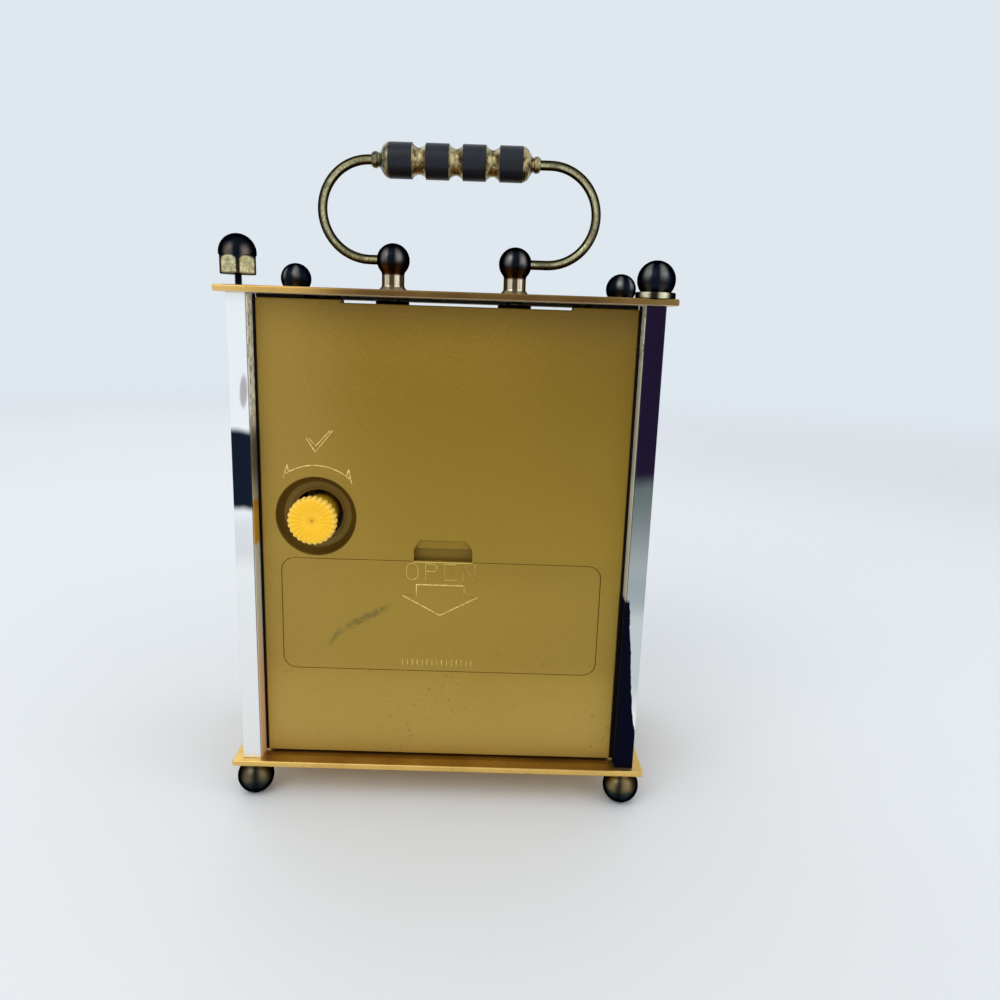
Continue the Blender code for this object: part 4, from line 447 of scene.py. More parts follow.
def ball_finish(looks):
    """Near black, with two soft painted highlight streaks on each side, a warmer painted reflection low down
    and a rim painted dark, over a ring that is pale brass only in its painted highlights and dark between
    them.
    """
    finish = Finish("ball_nut_bronze", Metallic=1.0, Specular_Tint=looks.patina)
    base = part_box("rear_left_ball_nut")[0][2]
    across = abs(finish.x) - abs(middle_of("rear_left_column").x)
    along = abs(finish.y) - middle_of("rear_left_column").y
    cloud = finish.patches(2.4 * MM, 3, seed=3.0)
    grain = finish.patches(0.35 * MM, 4, 0.7)
    height = finish.z - base + (cloud - 0.5) * 0.8 * MM
    streak_highlight = finish.gleams(across, along, LEAN) * (0.35 + 0.9 * finish.patches(1.5 * MM, 4, 0.6, seed=21.0))
    # Painted highlight streaks on the ball, a warmer painted reflection low on it, and a rim painted dark.
    # The ring below is pale only in its painted highlights.
    ball = finish.tint(streak_highlight * height.hump(5.2 * MM, 0.2 * MM, 2.3 * MM) * 0.85, looks.patina, "8f8c86")
    ball = finish.tint(streak_highlight * height.between(3.6 * MM, 1.4 * MM) * 0.35, ball, "6b5c45")
    ball = finish.tint(finish.rim(0.4, 0.66), ball, looks.patina)
    ring = finish.tint(finish.gleams(across, along, LEAN, 0.3), "2a2418", "e4dcb8")
    colour = finish.tint((finish.z - base).between(1.15 * MM, 1.0 * MM), ball, ring)
    colour = finish.tint(grain.between(0.64, 0.78) * 0.3, colour, "6c675d")
    finish.set(Base_Color=colour, Roughness=0.24 + 0.2 * grain)
    finish.relief(grain, 0.01 * MM, 0.3)
    return finish.material


def post_finish(side, looks):
    """A dark ball with painted highlight streaks, bronze below as a painted reflection of the brass plate,
    and a rim painted dark, on a neck whose bright colour is painted highlight, split by a dark painted
    reflection of the room.
    """
    finish = Finish(f"{side}_post_bronze", Metallic=1.0, Specular_Tint=looks.bronze)
    across = finish.x - middle_of(f"{side}_handle_post").x
    cloud = finish.patches(2.4 * MM, 3, seed=5.0)
    grain = finish.patches(0.35 * MM, 4, 0.7)
    base = TOP_HIGH.z + 0.3 * MM
    height = finish.z + (cloud - 0.5) * 0.8 * MM
    streak_highlight = finish.gleams(across, finish.y)
    broad_highlight = finish.gleams(across, finish.y, soft=0.4)
    # Painted highlights on the neck and its flare, with a dark painted reflection between the streaks.
    neck = finish.tint(streak_highlight.between(0.1, 0.5), "5b4a33", "eadbbd")
    neck = finish.tint(
        finish.z.between(base + 1.35 * MM, base + 0.9 * MM), neck, finish.tint(broad_highlight, "6f6148", "b3a37e")
    )
    # Painted highlight streaks on the ball, bronze below as a painted reflection of the plate, and a rim
    # painted dark.
    dark = finish.tint(
        streak_highlight * height.hump(PIVOT_Z + 0.9 * MM, 0.4 * MM, 2.0 * MM) * 0.7, looks.patina, "8a837c"
    )
    low = finish.tint(streak_highlight, "2c2018", looks.bronze)
    ball = finish.tint(height.between(PIVOT_Z - 0.4 * MM, PIVOT_Z - 2.4 * MM), dark, low)
    ball = finish.tint(finish.rim(0.45, 0.72), ball, looks.patina)
    colour = finish.tint(finish.z.between(base + 3.7 * MM, base + 4.1 * MM), neck, ball)
    finish.set(Base_Color=colour, Roughness=0.22 + 0.2 * grain)
    finish.relief(grain, 0.01 * MM, 0.3)
    return finish.material


def cap_nut_finish(looks):
    """Pale brass flats with rust specks and dark corners, under a dark dome with two painted highlight
    streaks low down and a rim painted dark.
    """
    finish = Finish("cap_nut_brass", Metallic=1.0, Specular_Tint=looks.bronze)
    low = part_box("rear_right_cap_nut")[0][2]
    centre = middle_of("rear_right_cap_nut")
    across = finish.x - centre.x
    along = finish.y - centre.y
    cloud = finish.patches(1.6 * MM, 4, 0.7, seed=9.0)
    grain = finish.patches(0.3 * MM, 4, 0.75)
    flats = finish.tint(cloud.between(0.36, 0.62) * 0.8, "e6dcae", "8d8257")
    rust = grain.between(0.54, 0.62) * cloud.between(0.38, 0.52)
    flats = finish.tint(rust * 0.8, flats, "8a5a34")
    reach = (across * across + along * along).root() + (grain - 0.5) * 0.25 * MM
    flats = finish.tint(reach.between(3.86 * MM, 4.02 * MM), flats, "2a2116")
    flats = finish.tint(finish.z.between(low + 0.5 * MM, low + 0.1 * MM), flats, "6d6248")
    hexagon_turn = NUT_TURN + math.pi / 6
    from_axis = None
    for step in range(3):
        angle = hexagon_turn + step * math.pi / 3
        one = abs(across * math.cos(angle) + along * math.sin(angle))
        from_axis = one if from_axis is None else from_axis.larger(one)
    # Painted highlights: two streaks low on the dome, and its rim painted dark.
    streak_highlight = finish.gleams(across, along, LEAN, 0.3)
    edge = finish.z - low + (cloud - 0.5) * 1.3 * MM
    dome = finish.tint(
        streak_highlight * edge.between(6.5 * MM, 4.3 * MM) * (0.25 + cloud) * 0.75, looks.patina, "8d7d70"
    )
    dome = finish.tint(finish.rim(0.45, 0.75), dome, looks.patina)
    arc = (reach - 3.46 * MM).larger(0) * 1.6
    on_flat = from_axis.between(3.42 * MM, 3.52 * MM) * (finish.z - low + arc).between(4.0 * MM, 3.75 * MM)
    colour = finish.tint(on_flat, dome, flats)
    finish.set(Base_Color=colour, Roughness=0.22 + 0.25 * grain)
    finish.relief(grain, 0.02 * MM, 0.4)
    return finish.material


def wire_finish(looks):
    """Antique brass, with a painted highlight along the middle and painted shade at its sides."""
    finish = Finish("antique_brass_wire", Metallic=1.0, Specular_Tint=tone("5a5136"))
    cloud = finish.patches(5 * MM, 3)
    grain = finish.patches(0.3 * MM, 3, stretch=(1, 1, 0.5))
    # Painted highlight and shade from how the surface faces: bright in the middle, dark at the sides.
    edge = finish.rim(0.0, 0.5) + (grain - 0.5) * 0.2
    colour = finish.tint(edge.between(-0.04, 0.06), "dfd9b2", looks.wire)
    colour = finish.tint(edge.between(0.06, 0.34), colour, "26220f")
    colour = finish.tint(cloud.between(0.4, 0.65) * 0.6, colour, "4a4431")
    finish.set(Base_Color=colour, Roughness=0.18 + 0.2 * grain)
    finish.relief(grain, 0.01 * MM, 0.3)
    return finish.material


def grip_finish(looks):
    """Gilt with brown clouds, greyer near its end at +X."""
    finish = Finish("grip_gilt_core", Metallic=1.0)
    cloud = finish.patches(1.8 * MM, 3)
    grain = finish.patches(0.3 * MM, 4, 0.7)
    colour = finish.tint(cloud.between(0.4, 0.62), looks.gilt, "51432c")
    colour = finish.tint(finish.x.between(14.2 * MM, 16.5 * MM) * 0.6, colour, "4d5148")
    finish.set(Base_Color=colour, Roughness=0.16 + 0.25 * grain)
    finish.relief(grain, 0.01 * MM, 0.3)
    return finish.material


def band_finish():
    """Black-navy lacquer with fine scratches."""
    finish = Finish("grip_black_lacquer", Specular_IOR_Level=0.3, Coat_Roughness=0.15)
    scratch = finish.patches(0.35 * MM, 3, 0.6, stretch=(0.15, 1, 1), seed=1.0)
    cloud = finish.patches(2.5 * MM, 3)
    colour = finish.tint(cloud * 0.6, "060914", "141a28")
    finish.set(
        Base_Color=finish.tint(scratch.between(0.66, 0.74) * 0.5, colour, "59606a"),
        Roughness=0.32 + 0.25 * scratch,
        Coat_Weight=0.05 + 0.1 * cloud,
    )
    finish.relief(scratch, 0.02 * MM, 0.4)
    return finish.material


def paint_finish(looks):
    """Metallic paint on plastic: pale low down, deeper high up, with fine flakes, a smudge and scuffs. Its
    light and shade are painted: lighter low down and towards +X, darker high up, with painted shade under the
    top plate, in the upper corner towards -X, inside the case and in the knob's well.
    """
    finish = Finish("gold_case_paint", Specular_IOR_Level=0.4)
    flakes = finish.patches(0.35 * MM, 3, 0.8)
    cloud = finish.patches(22 * MM, 3, seed=6.0)
    height = finish.z + (cloud - 0.5) * 16 * MM
    # Painted light and shade: darker high up, lighter towards +X and low down.
    colour = finish.tint(height.between(42 * MM, 104 * MM), looks.gold, looks.shade)
    colour = finish.tint(finish.x.between(12 * MM, 40 * MM) * 0.6, colour, "ab8c40")
    colour = finish.tint(height.between(38 * MM, 12 * MM) * 0.6, colour, "c2a253")
    colour = finish.tint(flakes.between(0.52, 0.72) * 0.4, colour, "cfae50")
    colour = finish.tint(flakes.between(0.46, 0.3) * 0.4, colour, "65501a")
    # Painted shade under the top plate, less towards +X.
    under_plate_shade = (
        finish.z.between(CASE_HIGH.z - 11 * MM, CASE_HIGH.z + 1 * MM)
        * (1 - 0.6 * finish.x.between(20 * MM, 36 * MM))
    )
    colour = finish.tint(under_plate_shade * 0.4, colour, "57401f")
    # Painted shade in the upper corner towards -X.
    far_corner_shade = finish.x.between(-4 * MM, -36 * MM) * height.between(56 * MM, 100 * MM)
    colour = finish.tint(far_corner_shade * 0.3, colour, "5a4416")
    above_cover = finish.z.hump(BASE_HIGH.z + 68 * MM, 14 * MM, 16 * MM) * finish.x.between(30 * MM, 4 * MM)
    colour = finish.tint(above_cover * 0.4, colour, "8a6e10")
    cover_band = (
        finish.z.hump(BASE_HIGH.z + 35 * MM, 11 * MM, 6 * MM)
        * (0.6 + 0.4 * finish.x.between(10 * MM, -30 * MM))
    )
    colour = finish.tint(cover_band * 0.2, colour, "6f5a1a")
    on_back = finish.y.between(CASE_BACK - 0.6 * MM, CASE_BACK - 0.3 * MM)
    along = (25.59 * MM - finish.x) / (12.95 * MM)
    smudge_low = 39.425 * MM
    smudge_rise = 7.12 * MM
    off = finish.z - smudge_low - along * smudge_rise + along.between(0.25, -0.15) * 2.2 * MM
    rough_edge = finish.patches(1.3 * MM, 5, 0.75, seed=8.0)
    broken = finish.patches(2.6 * MM, 4, 0.7, stretch=(1, 1, 1.6), seed=5.0).between(0.36, 0.56)
    smudge = abs(off + (rough_edge - 0.5) * 3.6 * MM).between(1.4 * MM, 0.2 * MM) * along.hump(0.5, 0.42, 0.2)
    colour = finish.tint(smudge * broken * on_back * 0.62, colour, "5c5a30")
    speck = finish.spots(1.7 * MM, (0.0004, 0, 0.0007)).between(0.17, 0.1)
    speck = (
        speck
        * finish.patches(9 * MM, 3, seed=15.0).between(0.44, 0.6)
        * finish.z.between(66 * MM, 24 * MM)
    )
    colour = finish.tint(speck * 0.5, colour, "4b3f1c")
    scuff = finish.patches(1.1 * MM, 4, 0.7, stretch=(1, 1, 0.4), seed=12.0).between(0.66, 0.76)
    scuff = scuff * finish.x.between(-6 * MM, -30 * MM) * finish.z.between(62 * MM, 30 * MM)
    colour = finish.tint(scuff * 0.35, colour, "5f5b35")
    cover_top = BASE_HIGH.z + COVER_TOP * MM
    worn_edge = (
        finish.z.hump(cover_top, 0.16 * MM, 0.1 * MM)
        * abs(finish.x).between(6.9 * MM, 6.5 * MM)
        * on_back
    )
    colour = finish.tint(worn_edge * 0.75, colour, "e0c468")
    glint = finish.spots(0.8 * MM, (0.0011, 0, 0.0003)).between(0.12, 0.06) * flakes.between(0.5, 0.6)
    colour = finish.tint(glint * 0.5, colour, "e6c76c")
    # Painted shade on surfaces set in from the back face, inside the case.
    inside_shade = finish.y.between(CASE_BACK - 0.8 * MM, CASE_BACK - 3.0 * MM) * finish.y.between(2 * MM, 6 * MM)
    colour = finish.tint(inside_shade * 0.3, colour, "6b5018")
    from_knob_x = finish.x - KNOB_AT.x
    from_knob_z = finish.z - KNOB_AT.z
    from_knob = (from_knob_x * from_knob_x + from_knob_z * from_knob_z).root()
    # Painted shade on the wall of the knob's well.
    well_shade = (
        from_knob.between(9.3 * MM, 9.0 * MM)
        * finish.y.between(CASE_BACK - 0.1 * MM, CASE_BACK - 0.6 * MM)
    )
    colour = finish.tint(well_shade * (0.5 + 0.25 * from_knob.between(7.4 * MM, 8.8 * MM)), colour, "43300f")
    finish.set(Base_Color=colour, Roughness=0.42 + 0.16 * flakes, Metallic=0.35 + 0.3 * flakes)
    finish.relief(flakes, 0.012 * MM, 0.5)
    return finish.material


def mark_finish():
    """The same paint where it catches the light on the raised lines."""
    finish = Finish("gold_mark_paint", Specular_IOR_Level=0.5)
    wear = finish.patches(0.7 * MM, 4, 0.7)
    colour = finish.tint(wear.between(0.4, 0.62), "f3d98a", "c4a650")
    letters = (
        (finish.z - BASE_HIGH.z).between(43.2 * MM, 43.6 * MM)
        * (finish.z - BASE_HIGH.z).between(49 * MM, 48 * MM)
    )
    colour = finish.tint(letters * 0.7, colour, "b6983c")
    finish.set(Base_Color=colour, Roughness=0.34 + 0.2 * wear, Metallic=0.45)
    finish.relief(wear, 0.01 * MM, 0.3)
    return finish.material


def foam_finish():
    """Black sheet with fine pores, standing for the shade in the gaps as painted shade."""
    finish = Finish("black_foam", Specular_IOR_Level=0.1)
    pores = finish.patches(0.25 * MM, 3, 0.7)
    finish.set(Base_Color=finish.tint(pores.between(0.4, 0.7), "090709", "1d191b"), Roughness=0.9)
    finish.relief(pores, 0.03 * MM, 0.6)
    return finish.material


def knob_finish(looks):
    """Yellow plastic, orange towards the middle of the face and darker at its very centre, paler on the tips
    of the flutes, and darker towards the back as painted shade in the well.
    """
    finish = Finish(
        "knob_yellow_plastic", Subsurface_Weight=0.1, Subsurface_Scale=0.4 * MM, Specular_IOR_Level=0.3
    )
    x = finish.x - KNOB_AT.x
    z = finish.z - KNOB_AT.z
    across = (x * x + z * z).root()
    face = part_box("set_knob")[1][1]
    grain = finish.patches(0.5 * MM, 3)
    colour = finish.tint(
        across.between(KNOB_RADIUS - 1.1 * MM, KNOB_RADIUS - 0.1 * MM) * 0.6, looks.yellow, "ffe27c"
    )
    colour = finish.tint(across.between(1.7 * MM, 0.5 * MM) * 0.5, colour, "f3b01a")
    colour = finish.tint(across.between(0.55 * MM, 0.3 * MM) * 0.8, colour, "c98d12")
    # Painted shade: the back of the head and the neck, sunk in the well, are darker.
    colour = finish.tint(finish.y.between(face - 2.4 * MM, face - 3.2 * MM) * 0.75, colour, "c79a18")
    colour = finish.tint(grain.between(0.55, 0.8) * 0.15, colour, "e0a415")
    finish.set(Base_Color=colour, Roughness=0.38 + 0.2 * grain)
    finish.relief(grain, 0.015 * MM, 0.3)
    return finish.material


def metal_finish(name, colour, dark, roughness, grain_size=0.4 * MM):
    """Turned or rolled metal with a fine grain and darker clouds."""
    finish = Finish(name, Metallic=1.0)
    grain = finish.patches(grain_size, 4, 0.65)
    cloud = finish.patches(grain_size * 7, 3, seed=3.0)
    shade = finish.tint(cloud.between(0.4, 0.75) * 0.6, colour, dark)
    finish.set(
        Base_Color=finish.tint(grain.between(0.6, 0.8) * 0.4, shade, dark), Roughness=roughness + 0.2 * grain
    )
    finish.relief(grain, 0.01 * MM, 0.3)
    return finish.material


def plastic_finish(name, colour, shade, roughness=0.4):
    """Moulded plastic with a fine texture."""
    finish = Finish(name, Specular_IOR_Level=0.45)
    grain = finish.patches(0.4 * MM, 3)
    cloud = finish.patches(6 * MM, 3, seed=2.0)
    finish.set(Base_Color=finish.tint(cloud, colour, shade), Roughness=roughness + 0.2 * grain)
    finish.relief(grain, 0.01 * MM, 0.4)
    return finish.material


def surround_finish():
    """Brushed gilt sheet round the dial."""
    finish = Finish("brushed_gilt_sheet", Metallic=1.0)
    brush = finish.patches(0.5 * MM, 3, 0.6, stretch=(1, 1, 0.02))
    cloud = finish.patches(15 * MM, 2)
    colour = finish.tint(brush.between(0.35, 0.7) * 0.4, "d6b26a", "a67c36")
    finish.set(Base_Color=finish.tint(cloud * 0.3, colour, "e6cb8c"), Roughness=0.26 + 0.2 * brush)
    finish.relief(brush, 0.01 * MM, 0.5)
    return finish.material


def dial_finish(looks):
    """Warm white printed sheet."""
    finish = Finish("dial_sheet")
    cloud = finish.patches(12 * MM, 3)
    grain = finish.patches(0.25 * MM, 2)
    finish.set(Base_Color=finish.tint(cloud * 0.5, looks.face, "e6dcc2"), Roughness=0.5 + 0.15 * grain)
    finish.relief(grain, 0.004 * MM, 0.3)
    return finish.material


def glass_finish():
    finish = Finish("window_glass", Transmission_Weight=1.0, IOR=1.45)
    smear = finish.patches(14 * MM, 3)
    finish.set(Base_Color=finish.tint(smear * 0.3, (1, 1, 1), "eef6f4"), Roughness=0.02 * smear)
    return finish.material


def cell_finish():
    """The cell's jacket: dark, with a copper band at its positive end and bright bare ends."""
    finish = Finish("cell_jacket_print", Coat_Weight=0.4, Coat_Roughness=0.1)
    low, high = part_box("battery_cell")
    grain = finish.patches(0.4 * MM, 3)
    band = finish.x.between(high[0] - 13.2 * MM, high[0] - 13.0 * MM)
    bare = finish.x.between(high[0] - 2.2 * MM, high[0] - 2.1 * MM).larger(
        finish.x.between(low[0] + 0.9 * MM, low[0] + 0.8 * MM)
    )
    colour = finish.tint(band, "23272e", "b06a35")
    colour = finish.tint(bare, colour, "c9cacb")
    finish.set(
        Base_Color=finish.tint(grain.between(0.6, 0.8) * 0.3, colour, "111214"),
        Roughness=0.28 + 0.15 * grain,
        Metallic=(band * 0.7).larger(bare),
    )
    finish.relief(grain, 0.006 * MM, 0.3)
    return finish.material


def winding_finish():
    """Enamelled copper, wound in fine turns."""
    finish = Finish("copper_turns", Metallic=0.9)
    turns = finish.node(
        "ShaderNodeTexWave",
        {"bands_direction": "X", "wave_profile": "SIN"},
        {"Vector": finish.place, "Scale": 1 / (1.2 * MM), "Distortion": 0.6},
        1,
    )
    cloud = finish.patches(2 * MM, 3)
    colour = finish.tint(turns * 0.6, "c46a34", "5e2a14")
    finish.set(Base_Color=finish.tint(cloud * 0.4, colour, "8a4522"), Roughness=0.3 + 0.2 * cloud)
    finish.relief(turns, 0.05 * MM, 0.6)
    return finish.material


def board_finish():
    """Green board with copper tracks under its lacquer."""
    finish = Finish("board_lacquer", Coat_Weight=0.3, Coat_Roughness=0.2)
    cells = finish.spots(2.6 * MM)
    track = cells.between(0.34, 0.38) * cells.between(0.5, 0.46)
    weave = finish.patches(0.5 * MM, 2)
    colour = finish.tint(weave, "1f5a34", "174628")
    finish.set(Base_Color=finish.tint(track, colour, "4f8a4c"), Roughness=0.4 + 0.2 * weave)
    finish.relief(track, 0.03 * MM, 0.5)
    return finish.material


# Meshes


def circle(radius, centre=(0, 0), sides=48):
    steps = [2 * math.pi * k / sides for k in range(sides)]
    return [(centre[0] + radius * math.cos(a), centre[1] + radius * math.sin(a)) for a in steps]


def box_outline(left, low, right, high, corner=0.0):
    return eased([(left, low, corner), (right, low, corner), (right, high, corner), (left, high, corner)])


def hexagon(flats, corner, turn=0.0):
    reach = flats / math.sqrt(3)
    angles = [turn + k * math.pi / 3 for k in range(6)]
    return eased([(reach * math.cos(a), reach * math.sin(a), corner) for a in angles])


def eased(corners, closed=True, steps=5):
    """A line through corners, each (across, up, radius), with its corners rounded."""
    points = []
    for index, (x, y, radius) in enumerate(corners):
        corner = Vector((x, y))
        if radius <= 0 or (not closed and index in (0, len(corners) - 1)):
            points.append((x, y))
            continue
        before = (Vector(corners[index - 1][:2]) - corner).normalized()
        after = (Vector(corners[(index + 1) % len(corners)][:2]) - corner).normalized()
        half = math.acos(max(-1, min(1, before.dot(after)))) / 2
        centre = corner + (before + after).normalized() * (radius / math.sin(half))
        start = corner + before * (radius / math.tan(half)) - centre
        end = corner + after * (radius / math.tan(half)) - centre
        first = math.atan2(start.y, start.x)
        sweep = (math.atan2(end.y, end.x) - first + math.pi) % (2 * math.pi) - math.pi
        for step in range(steps + 1):
            angle = first + sweep * step / steps
            points.append((centre.x + radius * math.cos(angle), centre.y + radius * math.sin(angle)))
    return points


def arc(radius, centre, first, last, count=20, across=0.0):
    """Points (radius, height) of a turned arc. 90 degrees is its top and 0 its widest place."""
    angles = [math.radians(first + (last - first) * step / count) for step in range(count + 1)]
    return [(across + radius * math.cos(a), centre + radius * math.sin(a)) for a in angles]


def kept(shape, name):
    """The shape as a mesh whose faces point outwards."""
    bmesh.ops.remove_doubles(shape, verts=shape.verts, dist=0.0002 * MM)
    bmesh.ops.recalc_face_normals(shape, faces=shape.faces)
    mesh = bpy.data.meshes.new(name)
    shape.to_mesh(mesh)
    shape.free()
    return mesh


def lathe(name, profile, centre, axis="Z", sides=64, closed=False):
    """A profile of (radius, distance along the axis) turned about the axis through centre."""
    shape = bmesh.new()
    turns = {"X": (1, 2, 0), "Y": (2, 0, 1), "Z": (0, 1, 2)}[axis]
    rings = []
    for radius, along in profile:
        ring = []
        for step in range(sides if radius > 0 else 1):
            angle = 2 * math.pi * step / sides
            spot = Vector(centre)
            spot[turns[0]] += radius * math.cos(angle)
            spot[turns[1]] += radius * math.sin(angle)
            spot[turns[2]] += along
            ring.append(shape.verts.new(spot))
        rings.append(ring)
    pairs = list(zip(rings, rings[1:]))
    if closed:
        pairs.append((rings[-1], rings[0]))
    for first, second in pairs:
        for step in range(sides):
            after = (step + 1) % sides
            corners = [first[step % len(first)], first[after % len(first)]]
            corners += [second[after % len(second)], second[step % len(second)]]
            corners = list(dict.fromkeys(corners))
            if len(corners) > 2:
                shape.faces.new(corners)
    return kept(shape, name)


def area_of(outline):
    return sum(a[0] * b[1] - b[0] * a[1] for a, b in zip(outline, outline[1:] + outline[:1])) / 2


def drawn_in(outline, distance):
    """The outline moved to its left by a distance, corner by corner."""
    moved = []
    for index, spot in enumerate(outline):
        before = Vector(spot) - Vector(outline[index - 1])
        after = Vector(outline[(index + 1) % len(outline)]) - Vector(spot)
        normals = [Vector((-d.y, d.x)).normalized() for d in (before, after)]
        bisector = normals[0] + normals[1]
        if bisector.length < 0.001:
            bisector = normals[0]
        bisector.normalize()
        reach = distance / max(0.4, bisector.dot(normals[0]))
        moved.append(Vector(spot) + bisector * reach)
    return moved


def slab(name, outlines, thickness, edge, place=(0, 0, 0), turn=UPRIGHT, steps=3, hole_edge=None):
    """A sheet with rounded edges. The first outline is outside, the others are holes. Place is its middle."""
    shape = bmesh.new()
    ends = ([], [])
    for number, outline in enumerate(outlines):
        line = list(outline) if (area_of(list(outline)) > 0) == (number == 0) else list(outline)[::-1]
        soft = edge if number == 0 or hole_edge is None else hole_edge
        angles = [math.pi / 2 * step / steps for step in range(steps + 1)]
        levels = [(soft * (1 - math.sin(a)), soft * (1 - math.cos(a)) - thickness / 2) for a in angles]
        levels += [(inset, -height) for inset, height in reversed(levels)]
        rings = []
        for inset, height in levels:
            moved = drawn_in(line, inset) if inset > 0 else [Vector(spot) for spot in line]
            rings.append([shape.verts.new((spot.x, spot.y, height)) for spot in moved])
        for low, high in zip(rings, rings[1:]):
            for step in range(len(line)):
                after = (step + 1) % len(line)
                shape.faces.new((low[step], low[after], high[after], high[step]))
        for end, ring in zip(ends, (rings[0], rings[-1])):
            for step in range(len(ring)):
                end.append(shape.edges.get((ring[step], ring[(step + 1) % len(ring)])))
    for end in ends:
        bmesh.ops.triangle_fill(shape, edges=end, use_beauty=True, use_dissolve=False)
    mesh = kept(shape, name)
    mesh.transform(Matrix.Translation(place) @ turn)
    return mesh


def bar(name, route, radius, sides=10, rounded=True):
    """A round bar along the route. Radius is one number, or one for each point."""
    shape = bmesh.new()
    spots = [Vector(spot) for spot in route]
    radii = list(radius) if isinstance(radius, (list, tuple)) else [radius] * len(spots)
    if rounded:
        for end, inner in ((0, 1), (-1, -2)):
            ahead = (spots[end] - spots[inner]).normalized()
            tip, tip_radius = spots[end], radii[end]
            extra = [(tip + ahead * tip_radius * s, tip_radius * c) for s, c in ((0.6, 0.8), (0.92, 0.4))]
            if end == 0:
                spots = [spot for spot, _ in reversed(extra)] + spots
                radii = [wide for _, wide in reversed(extra)] + radii
            else:
                spots += [spot for spot, _ in extra]
                radii += [wide for _, wide in extra]
    side = None
    rings = []
    for index, spot in enumerate(spots):
        ahead = (spots[min(index + 1, len(spots) - 1)] - spots[max(index - 1, 0)]).normalized()
        side = ahead.orthogonal() if side is None else side - ahead * side.dot(ahead)
        side.normalize()
        other = ahead.cross(side)
        angles = [2 * math.pi * k / sides for k in range(sides)]
        rings.append(
            [
                shape.verts.new(spot + (side * math.cos(a) + other * math.sin(a)) * radii[index])
                for a in angles
            ]
        )
    for first, second in zip(rings, rings[1:]):
        for step in range(sides):
            after = (step + 1) % sides
            shape.faces.new((first[step], first[after], second[after], second[step]))
    shape.faces.new(rings[0][::-1])
    shape.faces.new(rings[-1])
    return kept(shape, name)


def block(name, low, high, edge=0.0):
    """A box between two corners, with rounded edges."""
    middle = (Vector(low) + Vector(high)) / 2
    size = Vector(high) - Vector(low)
    corner = min(edge, size.x / 3, size.y / 3)
    outline = box_outline(-size.x / 2, -size.y / 2, size.x / 2, size.y / 2, corner)
    return slab(name, [outline], size.z, min(edge, size.z / 3), middle)


def together(name, *meshes):
    """One mesh of several that touch or lie apart."""
    shape = bmesh.new()
    for mesh in meshes:
        shape.from_mesh(mesh)
        bpy.data.meshes.remove(mesh)
    joined = bpy.data.meshes.new(name)
    shape.to_mesh(joined)
    shape.free()
    return joined


def carved(mesh, *steps):
    """The mesh after each step of (operation, tool), such as a hole cut or a boss joined on."""
    piece = bpy.data.objects.new("carving", mesh)
    bpy.context.scene.collection.objects.link(piece)
    tools = []
    for operation, tool_mesh in steps:
        tool = bpy.data.objects.new("tool", tool_mesh)
        bpy.context.scene.collection.objects.link(tool)
        step = piece.modifiers.new("step", "BOOLEAN")
        step.operation = operation
        step.solver = "EXACT"
        step.object = tool
        tools.append(tool)
    result = evaluated_mesh(piece)
    result.name = mesh.name
    for old in [piece, *tools]:
        used = old.data
        bpy.data.objects.remove(old, do_unlink=True)
        bpy.data.meshes.remove(used)
    return result


def evaluated_mesh(piece):
    bpy.context.view_layer.update()
    graph = bpy.context.evaluated_depsgraph_get()
    return bpy.data.meshes.new_from_object(piece.evaluated_get(graph), depsgraph=graph)


def copies_tree():
    """Copies of one piece, each moved on by a step and turned on by an angle from the one before."""
    tree = bpy.data.node_groups.get("copies_of_a_piece")
    if tree is not None:
        return tree
    tree = bpy.data.node_groups.new("copies_of_a_piece", "GeometryNodeTree")
    for name, kind in (
        ("Piece", "NodeSocketObject"),
        ("Count", "NodeSocketInt"),
        ("Step", "NodeSocketVector"),
        ("Turn", "NodeSocketVector"),
        ("Centre", "NodeSocketVector"),
        ("Finish", "NodeSocketMaterial"),
    ):
        tree.interface.new_socket(name, in_out="INPUT", socket_type=kind)
    tree.interface.new_socket("Copies", in_out="OUTPUT", socket_type="NodeSocketGeometry")
    given = tree.nodes.new("NodeGroupInput")
    line = tree.nodes.new("GeometryNodeMeshLine")
    piece = tree.nodes.new("GeometryNodeObjectInfo")
    index = tree.nodes.new("GeometryNodeInputIndex")
    angle = tree.nodes.new("ShaderNodeVectorMath")
    angle.operation = "SCALE"
    turned = tree.nodes.new("FunctionNodeEulerToRotation")
    copies = tree.nodes.new("GeometryNodeInstanceOnPoints")
    placed = tree.nodes.new("GeometryNodeTransform")
    real = tree.nodes.new("GeometryNodeRealizeInstances")
    finished = tree.nodes.new("GeometryNodeSetMaterial")
    result = tree.nodes.new("NodeGroupOutput")
    for source, target in (
        (given.outputs["Count"], line.inputs["Count"]),
        (given.outputs["Step"], line.inputs["Offset"]),
        (given.outputs["Piece"], piece.inputs["Object"]),
        (given.outputs["Turn"], angle.inputs[0]),
        (index.outputs[0], angle.inputs["Scale"]),
        (angle.outputs[0], turned.inputs[0]),
        (line.outputs["Mesh"], copies.inputs["Points"]),
        (piece.outputs["Geometry"], copies.inputs["Instance"]),
        (turned.outputs[0], copies.inputs["Rotation"]),
        (copies.outputs["Instances"], placed.inputs["Geometry"]),
        (given.outputs["Centre"], placed.inputs["Translation"]),
        (placed.outputs["Geometry"], real.inputs["Geometry"]),
        (real.outputs["Geometry"], finished.inputs["Geometry"]),
        (given.outputs["Finish"], finished.inputs["Material"]),
        (finished.outputs["Geometry"], result.inputs["Copies"]),
    ):
        tree.links.new(source, target)
    return tree


